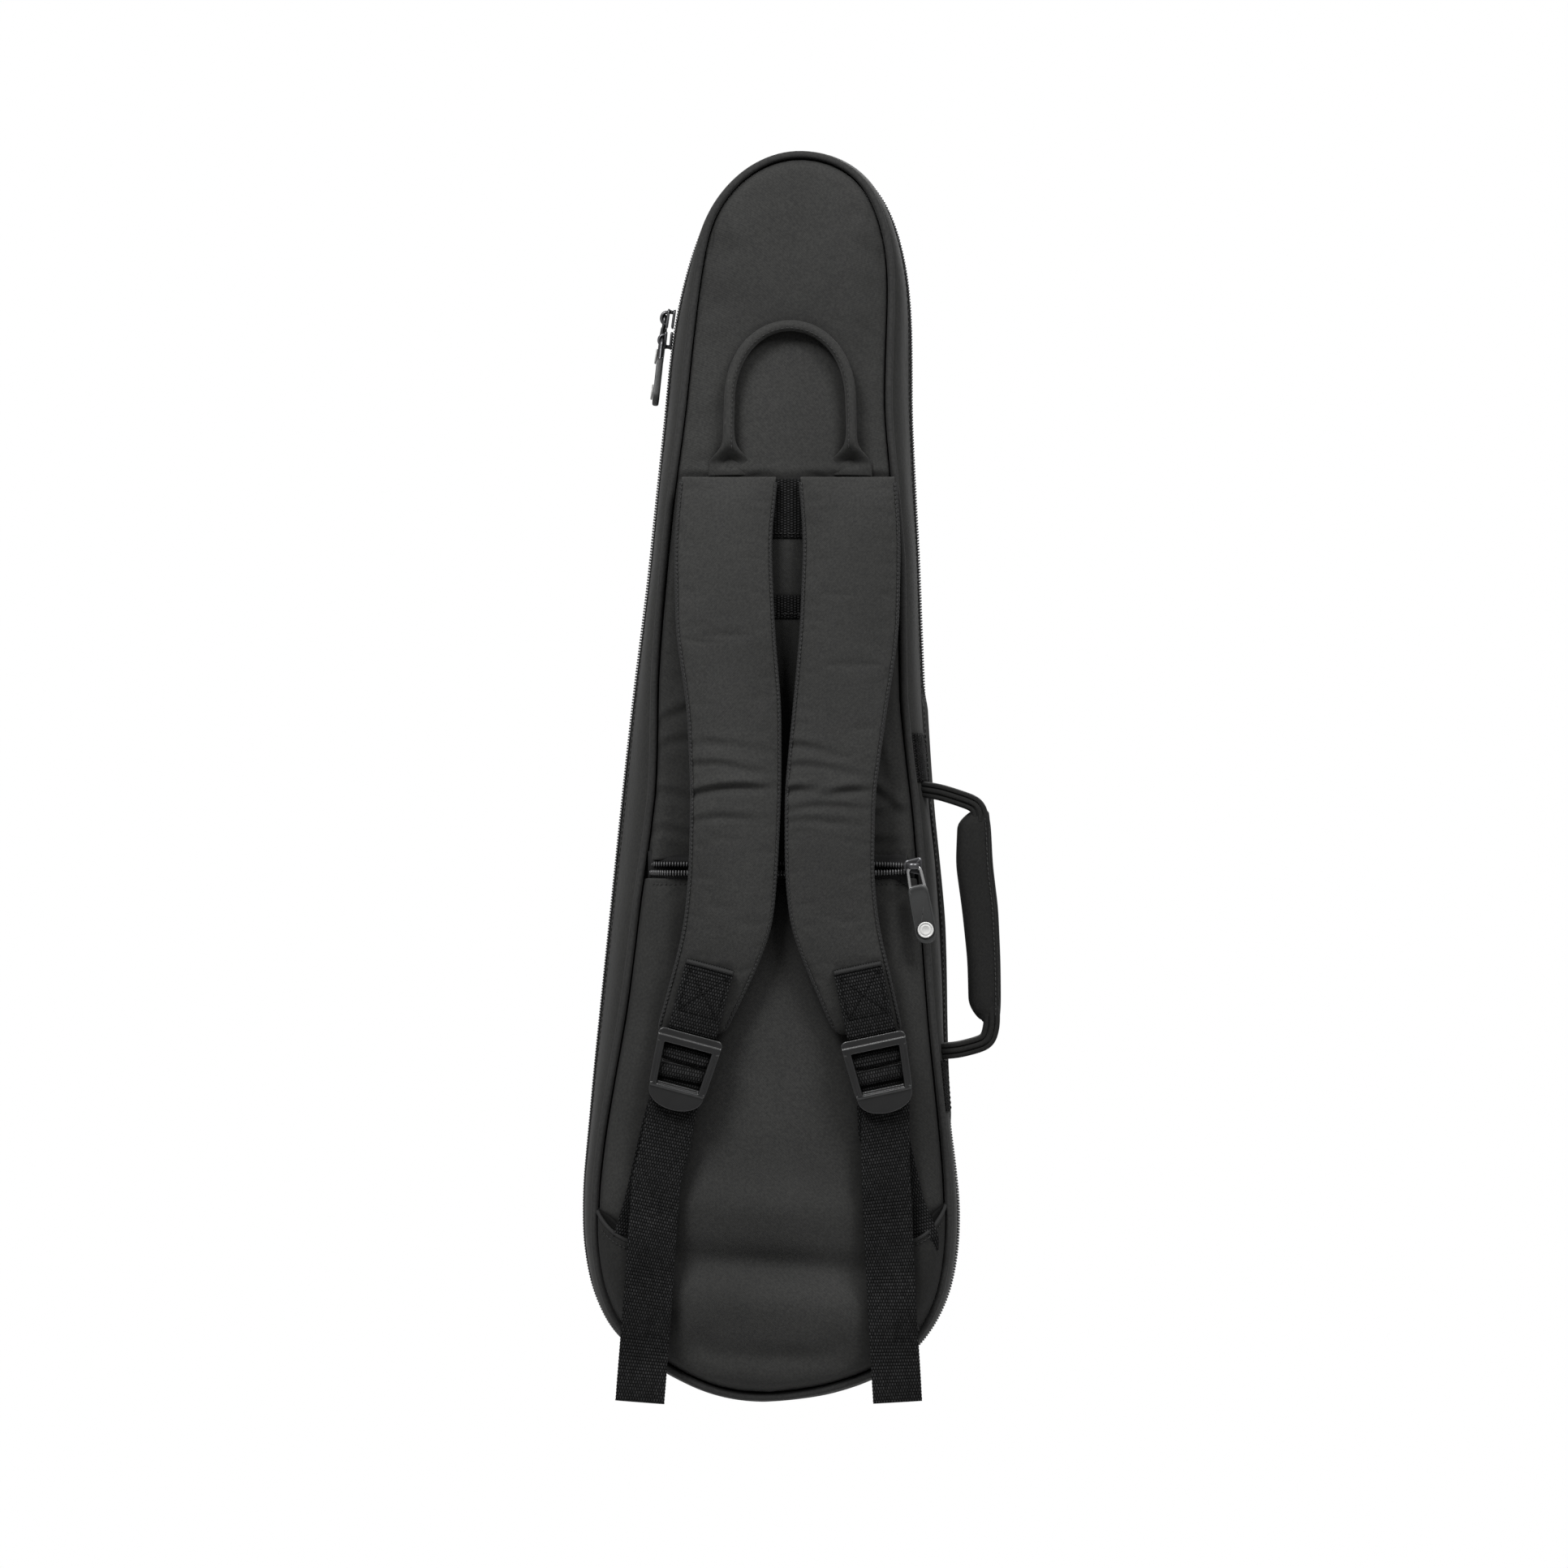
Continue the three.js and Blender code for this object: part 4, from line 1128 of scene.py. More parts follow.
def make_puller(zip_name, body, wire_look):
    """Bright wire loop, rubber tab with a raised rim, and a plain round badge set in its face."""
    pivot, axes = puller_axes(body)
    across, inwards, up = axes
    names = {part: f"{zip_name}_pull_{part}" for part in ("wire", "tab", "badge")}
    half = reach_of(names["wire"], pivot, across)[1] - 0.8 * MM
    wire_foot, wire_top = reach_of(names["wire"], pivot, up)
    depth = sum(reach_of(names["wire"], pivot, inwards)) / 2
    loop = rounded_outline(
        half - 0.5 * MM, half, wire_top - 0.9 * MM, wire_foot + 0.9 * MM, half - 0.6 * MM, 1.2 * MM
    )
    path = pivot + loop[:, :1] * across + depth * inwards + loop[:, 1:] * up
    path = even(path, 90, closed=True)
    wire = tube(path, 0.9 * MM, 14, inwards, closed=True)
    build_one(names["wire"], wire, wire_look, body, [names["wire"]], form=HOOP)
    foot, top = reach_of(names["tab"], pivot, up)
    wide = reach_of(names["tab"], pivot, across)[1]
    front, back = reach_of(names["tab"], pivot, inwards)
    top = max(top, wire_foot + 4.2 * MM)
    foot -= 1.5 * MM
    outline = rounded_outline(1.12 * wide, 1.2 * wide, top, foot, 0.8 * wide, 1.1 * wide, 16)
    sunk = front + 0.4 * MM
    profile = [
        (0.02, sunk), (0.3, sunk), (0.6, sunk), (0.8, sunk), (0.84, front + 0.25 * MM),
        (0.88, front), (0.95, front + 0.05 * MM), (0.985, sunk), (1, front + 1 * MM),
        (1, back - 0.8 * MM), (0.97, back - 0.2 * MM), (0.9, back), (0.5, back), (0.02, back),
    ]
    tab = puck(outline, pivot, axes, profile)
    build_one(names["tab"], tab, "rubber", body, [names["tab"]], 1, PUCK)
    low_end, high_end = reach_of(names["badge"], pivot, up)
    radius = (high_end - low_end) / 2
    face, rear = reach_of(names["badge"], pivot, inwards)
    turn = np.linspace(0, 2 * math.pi, 40, endpoint=False)
    disc = np.stack([np.cos(turn) * radius, np.sin(turn) * radius + (low_end + high_end) / 2], axis=1)
    face = min(face, front - 0.25 * MM)
    profile = [
        (0.01, face + 0.15 * MM), (0.42, face + 0.15 * MM), (0.47, face), (0.62, face),
        (0.67, face + 0.2 * MM), (0.8, face + 0.2 * MM), (0.84, face - 0.1 * MM),
        (0.95, face - 0.1 * MM), (1, face + 0.3 * MM), (1, rear), (0.01, rear),
    ]
    badge = puck(disc, pivot, axes, profile)
    build_one(names["badge"], badge, "badge", body, [names["badge"]], form=PUCK)


def make_slider(zip_name, travel):
    """A slider: two waisted plates with a post between them, and the bridge that holds the wire."""
    node = f"{zip_name}_slider"
    body = f"{zip_name}_slide"
    inwards = puller_axes(f"{zip_name}_pull")[1][1]
    centre = np.array(middle(node))
    travel = unit(travel - inwards * (travel @ inwards))
    sideways = np.cross(travel, inwards)
    axes = (sideways, inwards, travel)
    half_long = reach_of(node, centre, travel)[1]
    half_wide = reach_of(node, centre, sideways)[1]
    front, back = reach_of(node, centre, inwards)
    outline = rounded_outline(
        0.72 * half_wide, half_wide, half_long, -half_long, 0.5 * half_wide, 0.35 * half_wide
    )
    plates = []
    for near, far in ((back - 3.3 * MM, back - 1.9 * MM), (back - 0.3 * MM, back + 1.1 * MM)):
        profile = [
            (0.02, near), (0.8, near + 0.05 * MM), (0.95, near + 0.25 * MM), (1, near + 0.6 * MM),
            (1, far - 0.2 * MM), (0.94, far), (0.02, far),
        ]
        plates.append((puck(outline, centre, axes, profile), PUCK))
    foot, head = back - 2.4 * MM, front + 0.9 * MM
    arch = []
    for turn in np.linspace(0, math.pi, 15):
        rise = foot + (head - foot) * math.sin(turn) ** 0.7
        arch.append(centre + travel * math.cos(turn) * 0.62 * half_long + inwards * rise)
    arch = soften(even(arch, 24), 1)
    bridge = tube(arch, [[1.7 * MM, 0.95 * MM]], 12, -inwards)
    post = np.array([centre + travel * 0.7 * half_long + inwards * h for h in (back - 2.2 * MM, back)])
    plates += [(bridge, TUBE), (tube(even(post, 4), 1.1 * MM, 10, travel), TUBE)]
    build(node, plates, "slider", body, [node])


def make_all_sliders():
    """Each slider and its puller: the upper one of the main zip travels on an arc about its joint."""
    upper = joint_of("main_upper_slide")
    arm = np.array(middle("main_upper_slider")) - np.array(upper["pos_m"])
    for zip_name in ("main_lower", "main_upper", "back_pocket", "front_pocket"):
        travel = np.array(joint_of(f"{zip_name}_slide")["axis"], float)
        if zip_name == "main_upper":
            travel = np.cross(travel, arm)
        make_slider(zip_name, travel)
        # Painted shade: the main zips' wire loops are chrome like the others, but take the dark slider
        # finish so that they read dark.
        wire_look = "slider" if zip_name.startswith("main") else "chrome"
        make_puller(zip_name, f"{zip_name}_pull", wire_look)


# ---------- straps ----------


def stations_of(node, gap=6 * MM):
    """The centre line and the widths of a strip, from the heights where its corners gather."""
    corners = corners_of(node)
    corners = corners[np.argsort(-corners[:, 2])]
    breaks = np.flatnonzero(-np.diff(corners[:, 2]) > gap) + 1
    groups = np.split(corners, breaks)
    centres = np.array([(g.max(0) + g.min(0)) / 2 for g in groups])
    widths = np.array([g[:, 0].max() - g[:, 0].min() for g in groups])
    return centres, widths


def buckle_axes(side):
    """The pivot of a ladder lock, and its directions: across, inwards and up."""
    joint = joint_of(f"buckle_{side}")
    across = -np.array(joint["axis"])
    inwards = np.array([0.0, 1.0, 0.0])
    return np.array(joint["pos_m"]), (across, inwards, np.cross(across, inwards))


def in_buckle(side, x, y, z):
    """A point given in a ladder lock's own directions, in millimetres from its pivot."""
    pivot, (across, inwards, up) = buckle_axes(side)
    return pivot + (across * x + inwards * y + up * z) * MM


def eased_line(centres, count):
    """The smoothed line through a strip's stations, and how far along it each point is."""
    run = run_of(centres)
    at = np.linspace(0, run[-1], count)
    return soften(looked_up(at, run, centres), 60), at, run


# Creases of the straps: (x from the bag's middle, height above its foot) of both ends, and depth.
STRAP_CREASES = {
    "left": (
        ((-46, 341), (-8, 339), 0.7), ((-44, 331), (-10, 328), 1.2), ((-47, 314), (-4, 319), 2.6),
        ((-42, 302), (-10, 303), 1.2),
    ),
    "right": (
        ((3, 341), (28, 338), 1.2), ((4, 330), (40, 327), 1.0), ((2, 316), (20, 318), 2.2),
        ((28, 315), (48, 318), 2.2), ((6, 307), (44, 309), 1.2), ((4, 301), (36, 301), 0.9),
    ),
}


def make_strap_pad(side):
    """A tapering padded strap with a bound and stitched edge, creased where it has been folded."""
    node, body = f"strap_pad_{side}", f"strap_{side}"
    centres, widths = stations_of(node)
    centres[0, 2] = STRAP_SEAM
    centres[-1] += (centres[-1] - centres[-2]) * 0.24
    path, from_top, run = eased_line(centres, 190)
    width = soften(np.interp(from_top, run, widths), 40) + 0.6 * MM
    from_foot = run[-1] - from_top
    path[:, 1] += 3.2 * MM * (1 - np.clip(from_foot / (16 * MM), 0, 1)) ** 2
    round_foot = np.sqrt(np.clip(1 - (1 - np.clip(from_foot / (3 * MM), 0, 1)) ** 2, 0, 1))
    width = width - (1 - round_foot) * 5 * MM
    full = np.clip(from_top / (16 * MM), 0, 1) ** 0.6 * (0.45 + 0.55 * round_foot)
    columns = 18
    spread = np.sin(np.linspace(-math.pi / 2, math.pi / 2, columns))
    swell = (1 - np.abs(spread) ** 3) ** 0.6
    flat = path[:, None] + np.array(OUT_RIGHT) * spread[None, :, None] * width[:, None, None] / 2
    half = 1.0 * MM + 2.7 * MM * swell[None] * full[:, None]
    up = unit(np.cross(np.gradient(path, axis=0), OUT_RIGHT))
    up *= np.sign(-up[:, 1].mean())
    front = flat + up[:, None] * half[..., None]
    back = flat - up[:, None] * half[..., None]
    points = np.concatenate([front, back[:, ::-1]], axis=1)
    pinned = np.zeros(points.shape[:2], bool)
    pinned[:3] = pinned[-3:] = True
    pinned[:, [0, columns - 1, columns, 2 * columns - 1]] = True
    points = billow(points, pinned, wrap=True, cap=1.3 * MM, slack=0.006)
    for start, end, deep in STRAP_CREASES[side]:
        ends = [(MID_X + x * MM, FOOT_Z + z * MM) for x, z in (start, end)]
        crease(points, *ends, deep * MM, 2.0 * MM)
    x, z = points[..., 0], points[..., 2]
    points[..., 1] += 0.35 * MM * ripple(x, z, 17 * MM, {"left": 0.4, "right": 2.2}[side])
    pad = build_one(f"{node}_cloth", points, "shell", body, [node], 1)
    sew_strap_edge(side, body, points, path, columns)


def sew_strap_edge(side, body, points, path, columns):
    """The binding round a strap pad's finished edge, and the stitches that hold it."""
    right = (points[:, columns - 1] + points[:, columns]) / 2
    left = (points[:, 0] + points[:, -1]) / 2
    foot = (points[-1, 1 : columns - 1] + points[-1, -2:columns:-1]) / 2
    edge = np.vstack([left[2:], foot, right[-1:1:-1]])
    edge = soften(even(edge, 420), 4)
    rope = even(edge, 1300)
    knots = 1 + 0.08 * np.sin(np.linspace(0, length_of(edge) / (2.2 * MM), 1300) * 2 * math.pi)
    oval = np.stack([1.05 * MM * knots, 1.75 * MM * knots], axis=1)
    build_one(f"strap_binding_{side}", tube(rope, oval), "binding", body)
    centre = np.interp(edge[:, 2], path[::-1, 2], path[::-1, 0])
    inner = edge.copy()
    inner[:, 0] += np.sign(centre - edge[:, 0]) * 0.35 * MM
    inner[:, 1] -= 1.75 * MM
    rear = inner + (0, 3.5 * MM, 0)
    stitches(f"strap_stitches_{side}", [(inner, STRAP_SIDE), (rear, LID_SIDE)], body, 2.3 * MM)


def make_strap_tab(side):
    """Webbing sewn flat on the pad's foot in a crossed box, then led behind the lock's plate."""
    node, body = f"strap_tab_{side}", f"strap_{side}"
    across = buckle_axes(side)[1][0]
    line = [(-3.6, 38.4), (-4.9, 37.6), (-5.0, 34), (-4.9, 20), (-4.6, 8), (-3.6, 3.5), (-0.6, 0)]
    line += [(0.2, -4), (-1.2, -7.6), (-1.7, -10.4), (-1.0, -13.2), (1.2, -14.0), (2.6, -11), (2.8, -4)]
    path = np.array([in_buckle(side, 0, y, z) for y, z in line])
    web = webbing_strip(path, across, WEBBING_WIDTH)
    build_one(f"{node}_webbing", web, "webbing", body, [node])
    half, top, foot = 10.2, 34.5, 12.5
    box = [(-half, foot), (-half, top), (half, top), (half, foot), (-half, foot)]
    cross = [[(-half, foot), (half, top)], [(half, foot), (-half, top)]]
    lines = []
    for run in [box, *cross]:
        points = np.array([in_buckle(side, x, -5.75, z) for x, z in run])
        lines.append((even(points, 60), STRAP_SIDE))
    stitches(f"box_stitches_{side}", lines, body, 2.6 * MM, "dark_thread")
    fold = np.array([in_buckle(side, x, -5.2, 37.2) for x in (-12.4, 12.4)])
    roll = tube(even(fold, 30), [[1.2 * MM, 1.5 * MM]], 10)
    build_one(f"tab_fold_{side}", roll, "binding", body)


def make_ladder_lock(side):
    """Moulded frame: front plate, tapering side bars, cross bars and thumb lip, fused and smoothed."""
    node, body = f"ladder_lock_{side}", f"buckle_{side}"
    pivot, axes = buckle_axes(side)
    pieces = []

    def bar(outline, near, far):
        """A bar of the moulding, between two depths."""
        grid = puck(np.array(outline) * MM, pivot, axes, [(1, near * MM), (1, far * MM)])
        count = grid.shape[1]
        corners, faces, _ = grid_parts(grid, wrap=True)
        faces += [tuple(range(count))[::-1], tuple(range(count, 2 * count))]
        pieces.append((corners, faces))

    bar(rounded_outline(16.9, 16.6, 1.6, -5.0, 3.0, 0.3, 6), -4.4, -1.2)
    bar(rounded_outline(16.6, 16.5, -2.2, -5.4, 0.4, 0.4, 3), -4.9, -1.8)
    for hand in (-1, 1):
        sidebar = [(16.8, -2), (14.9, -27.0), (11.0, -27.0), (12.7, -2)]
        bar([(hand * x, z) for x, z in sidebar[::hand]], -4.4, 1.4)
        bevel = [(14.9, -3), (13.0, -27.0), (11.3, -27.0), (12.9, -3)]
        bar([(hand * x, z) for x, z in bevel[::hand]], -4.9, -1.0)
    bar(rounded_outline(13, 13, -15.0, -20.5, 0.3, 0.3, 3), 0.2, 1.6)
    bar(rounded_outline(14.8, 14.4, -25.6, -28.2, 0.8, 0.4, 6), -3.4, 1.6)
    bar(rounded_outline(14.6, 14.5, -27.3, -28.5, 0.3, 0.3, 3), -4.7, -1.0)
    lip = [(14.4, -28.2)]
    for turn in np.linspace(0, math.pi, 25):
        lip.append((14.4 * math.cos(turn), -28.4 - 10.2 * math.sin(turn) ** 0.85))
    bar(lip, -3.6, -2.2)
    corners, faces = [], []
    for piece_corners, piece_faces in pieces:
        start = sum(len(c) for c in corners)
        corners.append(piece_corners)
        faces += [tuple(start + c for c in face) for face in piece_faces]
    mesh = bpy.data.meshes.new(node)
    mesh.from_pydata(np.vstack(corners), [], faces)
    obj = bpy.data.objects.new(f"{node}_moulding", mesh)
    bpy.context.scene.collection.objects.link(obj)
    tidy_normals(obj)
    fuse = obj.modifiers.new("fuse", "REMESH")
    fuse.mode = "VOXEL"
    fuse.voxel_size = 0.3 * MM
    smooth = obj.modifiers.new("smooth", "SMOOTH")
    smooth.factor = 0.5
    smooth.iterations = 5
    graph = bpy.context.evaluated_depsgraph_get()
    fused = bpy.data.meshes.new_from_object(obj.evaluated_get(graph))
    obj.modifiers.clear()
    obj.data = fused
    fused.polygons.foreach_set("use_smooth", [True] * len(fused.polygons))
    fused.materials.clear()
    dress(obj, "buckle", body, [node])


def make_tail(side):
    """The long webbing tail that hangs from the ladder lock, cut and sealed at its end."""
    node = f"webbing_tail_{side}"
    centres, _ = stations_of(node)
    starts = [(1.4, -15), (0.0, -20), (0.2, -24), (0.4, -27), (0.6, -33)]
    path = np.vstack([[in_buckle(side, 0, y, z) for y, z in starts], centres[1:]])
    path = soften(even(path, 120), 5)
    path[:, 1] += 0.15 * MM * ripple(path[:, 2], path[:, 2] * 0, 20 * MM, 1.5)
    path[:, 1] += 1.2 * MM * hump(path[:, 2], FOOT_Z + 38 * MM, 16 * MM)
    across = np.cross(LID_SIDE, unit(np.gradient(path, axis=0)))
    across *= np.sign(across[:, :1])
    web = webbing_strip(path, across, WEBBING_WIDTH)
    web = build_one(f"{node}_webbing", web, "webbing", None, [node])
    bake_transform(web)


def make_anchor(side):
    """The webbing that comes up out of the corner and goes over the ladder lock's middle bar."""
    node = f"anchor_webbing_{side}"
    centres, _ = stations_of(node)
    round_bar = ((0.6, -23.6), (-1.4, -22.2), (-2.3, -19.4), (-1.6, -16.8), (1.4, -15.6), (3.6, -18))
    bends = [in_buckle(side, 0, y, z) for y, z in round_bar]
    last = centres[-1]
    ends = [last + (0, 0.6 * MM, 7 * MM), last + (0, 4.6 * MM, -1 * MM)]
    path = np.vstack([bends, centres[1:-1], ends])
    path = soften(even(path, 140), 3)
    across = unit(np.cross(LID_SIDE, centres[-1] - centres[0]))
    across *= np.sign(across[0])
    web = webbing_strip(path, across, WEBBING_WIDTH)
    web = build_one(f"{node}_webbing", web, "webbing", None, [node])
    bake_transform(web)


# The corners: the heights of their ends on the side seam, and of their inner foot, above the bag's
# foot or below their tip, in millimetres.
CORNERS = {"left": (26, 101, 52), "right": (38, 104, 30)}


def corner_flat(side, tip, rows, columns):
    """A corner seen from the strap side: its upper edge dips between its tip and the seam."""
    foot, head, drop = CORNERS[side]
    bottom = index_at(SEAM, FOOT_Z + foot * MM, side)
    outer = span(grown(SEAM, -1.6 * MM), bottom, index_at(SEAM, FOOT_Z + head * MM, side), rows)
    inner = even([tip - (0, drop * MM), tip], rows)
    bow = np.linspace(0, 1, columns)
    edge = even([inner[-1], outer[-1]], columns)
    edge[:, 1] -= 9.0 * MM * np.sin(math.pi * bow) ** 0.8 * bow
    under = even([inner[0], outer[0]], columns)
    under[:, 1] += 6.0 * MM * np.sin(math.pi * bow)
    return coons(under, edge, inner, outer), bow


def make_corner(side, pocket):
    """The cloth gusset sewn into the side seam: its bound edge dips over the anchor webbing's end."""
    node = f"corner_patch_{side}"
    anchor_end = stations_of(f"anchor_webbing_{side}")[0][-1]
    inwards = 1 if side == "left" else -1
    tip = anchor_end[[0, 2]] + np.array([inwards * 12, 1]) * MM
    rows = 44
    flat, bow = corner_flat(side, tip, rows, 30)
    on_cloth = on_surface(tree_of(pocket), flat, 1.0 * MM)[..., 1]
    lifted = anchor_end[1] - 2.6 * MM
    height = np.linspace(0, 1, rows)[:, None]
    raised = lifted + (BACK - 1.2 * MM - lifted) * bow[None] ** 4.5
    sunk = raised + 2.0 * MM * (1 - height) ** 1.5
    to_seam = on_cloth + (BACK - 0.8 * MM - on_cloth) * bow[None] ** 8
    depth = soften(soften(np.minimum(sunk, to_seam), 3).T, 3).T
    points = at_depth(flat, depth)
    # Painted shade: the corner look is the shell cloth made darker.
    build_one(f"{node}_cloth", thickened(points, STRAP_SIDE), "corner", "shell", [node], 1)
    for name, rim in (("upper", points[-1]), ("lower", points[0])):
        roll = tube(even(rim + (0, 0.4 * MM, 0), 60), 1.0 * MM)
        build_one(f"corner_{name}_edge_{side}", roll, "binding", "shell")
    line = even((points[-4] + (0, -0.2 * MM, 0))[1:-2], 60)
    stitches(f"corner_stitches_{side}", [(line, STRAP_SIDE)], "shell", 2.3 * MM)
    make_corner_mouth_shade(side, points[-1], bow, pocket)


def make_corner_mouth_shade(side, edge, bow, pocket):
    """Painted shade: a near-black sheet set in the mouth of a corner, above its bound edge, for the
    shadow in the hollow behind it.
    """
    wide = np.linspace(0.5, 1.0, 24)
    edge = looked_up(wide, bow, edge)
    arch = np.outer(np.sin(math.pi * (wide - 0.45) / 0.6), (0, 0, 6.6 * MM))
    foot, head = edge + (0, 0.9 * MM, -2.5 * MM), edge + (0, 1.6 * MM, 0) + arch
    mouth = np.stack([foot * (1 - t) + head * t for t in np.linspace(0, 1, 6)], axis=1)
    on_pocket = on_surface(tree_of(pocket), mouth[..., [0, 2]], 0.5 * MM)[..., 1]
    mouth[..., 1] = np.minimum(mouth[..., 1], on_pocket)
    # The sheet stands in for shade, not for a lining.
    lining = thickened(mouth, STRAP_SIDE, 0.5 * MM)
    build_one(f"corner_mouth_shade_{side}", lining, "mouth", "shell")


# ---------- loop and carrying handle ----------


def make_grab_loop():
    """A roll of folded cloth: two legs that spread into flat feet where they're sewn down."""
    first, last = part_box("grab_handle")
    radius = 2.85 * MM
    flare = 8.0 * MM
    left, right = first.x + flare, last.x - flare
    centre = (left + right) / 2
    foot_z, top = first.z - 4.5 * MM, last.z - radius
    bend_z = foot_z + 38 * MM
    y = middle("grab_handle").y - 0.8 * MM
    knee_z = bend_z - 12 * MM
    flat = [(left, foot_z), (left - 0.4 * MM, knee_z)]
    for turn in np.linspace(math.pi, 0, 60):
        x = centre + (right - left) / 2 * math.cos(turn)
        flat.append((x, bend_z + (top - bend_z) * math.sin(turn) ** 0.92))
    flat += [(right + 0.4 * MM, knee_z), (right, foot_z)]
    flat = even(soften(even(flat, 190), 8), 190)
    path = at_depth(flat, y)
    near_foot = hump(np.clip(flat[:, 1] - foot_z - 6 * MM, 0, None), 0, 7 * MM)
    path[:, 1] += near_foot * (PANEL_FACE - 1.0 * MM - y)
    side, _ = frames_along(path, LID_SIDE)
    to_viewer = np.array(STRAP_SIDE)
    turn = turns(26)
    wide = radius + (8.2 * MM) * near_foot + 0.25 * MM * ripple(flat[:, 0], flat[:, 1], 9 * MM, 0.7)
    deep = radius * (1 - 0.25 * near_foot)
    rise = (flat[:, 1] - foot_z) / MM
    dent = 1.25 * near_foot * np.clip((rise - 3.5) / 4, 0, 1)
    bulge = np.sin(turn)[None] * deep[:, None]
    pinch = 1 - dent[:, None] * hump(np.cos(turn), 0, 0.32)[None]
    bulge = np.where(np.sin(turn)[None] > 0, bulge * pinch, bulge)
    points = path[:, None] + side[:, None] * (np.cos(turn)[None] * wide[:, None])[..., None]
    points = points + to_viewer * bulge[..., None]
    build_one("grab_loop_cloth", points, "shell", "grab_loop", ["grab_handle"], 1)
    keep = near_foot < 0.3
    line = path[keep] + to_viewer * 2.55 * MM - side[keep] * 1.35 * MM
    stitches("grab_loop_seam", [(line, STRAP_SIDE)], "grab_loop", 2.6 * MM)


def make_grip():
    """The padded grip: its outer edge runs on into the legs, its inner one slants off to them."""
    centres, widths = stations_of("side_handle_grip", 3 * MM)
    path, at, run = eased_line(centres, 150)
    width = soften(np.interp(at, run, np.maximum(widths, 16.5 * MM)), 40)
    depth = high("side_handle_grip").y - low("side_handle_grip").y
    to_head = np.clip(at / (11 * MM), 0, 1)
    to_foot = np.clip((run[-1] - at) / (15 * MM), 0, 1)
    slant = soften(np.minimum(np.sin(to_head * math.pi / 2), np.sin(to_foot * math.pi / 2)), 3)
    slim = width * (0.42 + 0.58 * slant)
    path[:, 0] += (width - slim) / 2
    tip = np.clip(np.minimum(at, run[-1] - at) / (2.5 * MM), 0, 1)
    close = np.sqrt(np.clip(1 - (1 - tip) ** 2, 0.2, 1))
    turn = turns(32)
    round_x = np.sign(np.cos(turn)) * np.abs(np.cos(turn)) ** 0.72
    round_y = np.sign(np.sin(turn)) * np.abs(np.sin(turn)) ** 0.72
    half_wide = slim * close / 2
    half_deep = depth / 2 * (0.35 + 0.65 * close * (0.6 + 0.4 * slant))
    oval = columns_of(round_x * half_wide[:, None], round_y * half_deep[:, None], 0.0)
    points = path[:, None] + oval
    pinned = np.zeros(points.shape[:2], bool)
    pinned[:3] = pinned[-3:] = True
    points = billow(points, pinned, wrap=True, cap=0.8 * MM, slack=0.01)
    points[..., 0] += 0.3 * MM * ripple(points[..., 2], points[..., 1] * 3, 9 * MM, 1.0)
    stands_for = ["side_handle_grip"]
    # Painted shade: the grip look is the shell cloth made darker.
    grip = build_one("side_handle_grip_cloth", points, "grip", "side_handle", stands_for, 1)
    edge = path.copy()
    edge[:, 0] += half_wide - 0.45 * MM
    core = edge[6:-6]
    fade = np.sin(np.linspace(0, math.pi, len(core)))[:, None] ** 0.3
    roll = tube(core, np.array([[0.9 * MM, 1.1 * MM]]) * fade + 0.1 * MM, 10)
    build_one("grip_edge", roll, "piping", "side_handle")
    lines = []
    for facing in (-1.0, 1.0):
        line = core - (2.2 * MM, 0, 0)
        line[:, 1] += facing * half_deep[6:-6] * 0.93
        lines.append((line, (0, facing, 0)))
    stitches("grip_stitches", lines, "side_handle", 2.6 * MM)


def make_handle_leg(which):
    """A folded strip of webbing that goes from the gusset into the grip, along its outer edge."""
    node = f"side_handle_leg_{which}"
    grip, _ = stations_of("side_handle_grip", 3 * MM)
    upper = which == "upper"
    end, into = (grip[0], grip[1]) if upper else (grip[-1], grip[-2])
    away = 1 if upper else -1
    outer = np.array([4.6 * MM, 0, 0])
    first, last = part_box(node)
    y = (first.y + last.y) / 2
    level = last.z if upper else first.z
    patch_x = high(f"handle_patch_{which}").x
    start = np.array([patch_x - 5 * MM, y, level - away * 4 * MM])
    corner = np.array([end[0], y, level - away * (12.0 if upper else 9.0) * MM]) + outer * 0.5
    line = [
        start,
        (start * 2 + corner) / 3 + (0, 0, away * 1.2 * MM),
        (start + corner * 2) / 3 + (0, 0, away * 0.8 * MM),
        corner,
        end + outer - (0, 0, away * 3.0 * MM),
        into + outer * 0.6,
    ]
    path = soften(curve(line, 80, 10), 60)
    up = soften(unit(np.cross(LID_SIDE, np.gradient(path, axis=0))), 10)
    layers = []
    for offset in (-2.7, 0, 2.7):
        centre = path + up * offset * MM
        width = (13 - 0.5 * abs(offset)) * MM
        layers.append((strip(centre, LID_SIDE, up, width, 3.1 * MM), TUBE))
    # Painted shade: the grip look is the shell cloth made darker.
    build(f"{node}_webbing", layers, "grip", "side_handle", [node], finer=1)


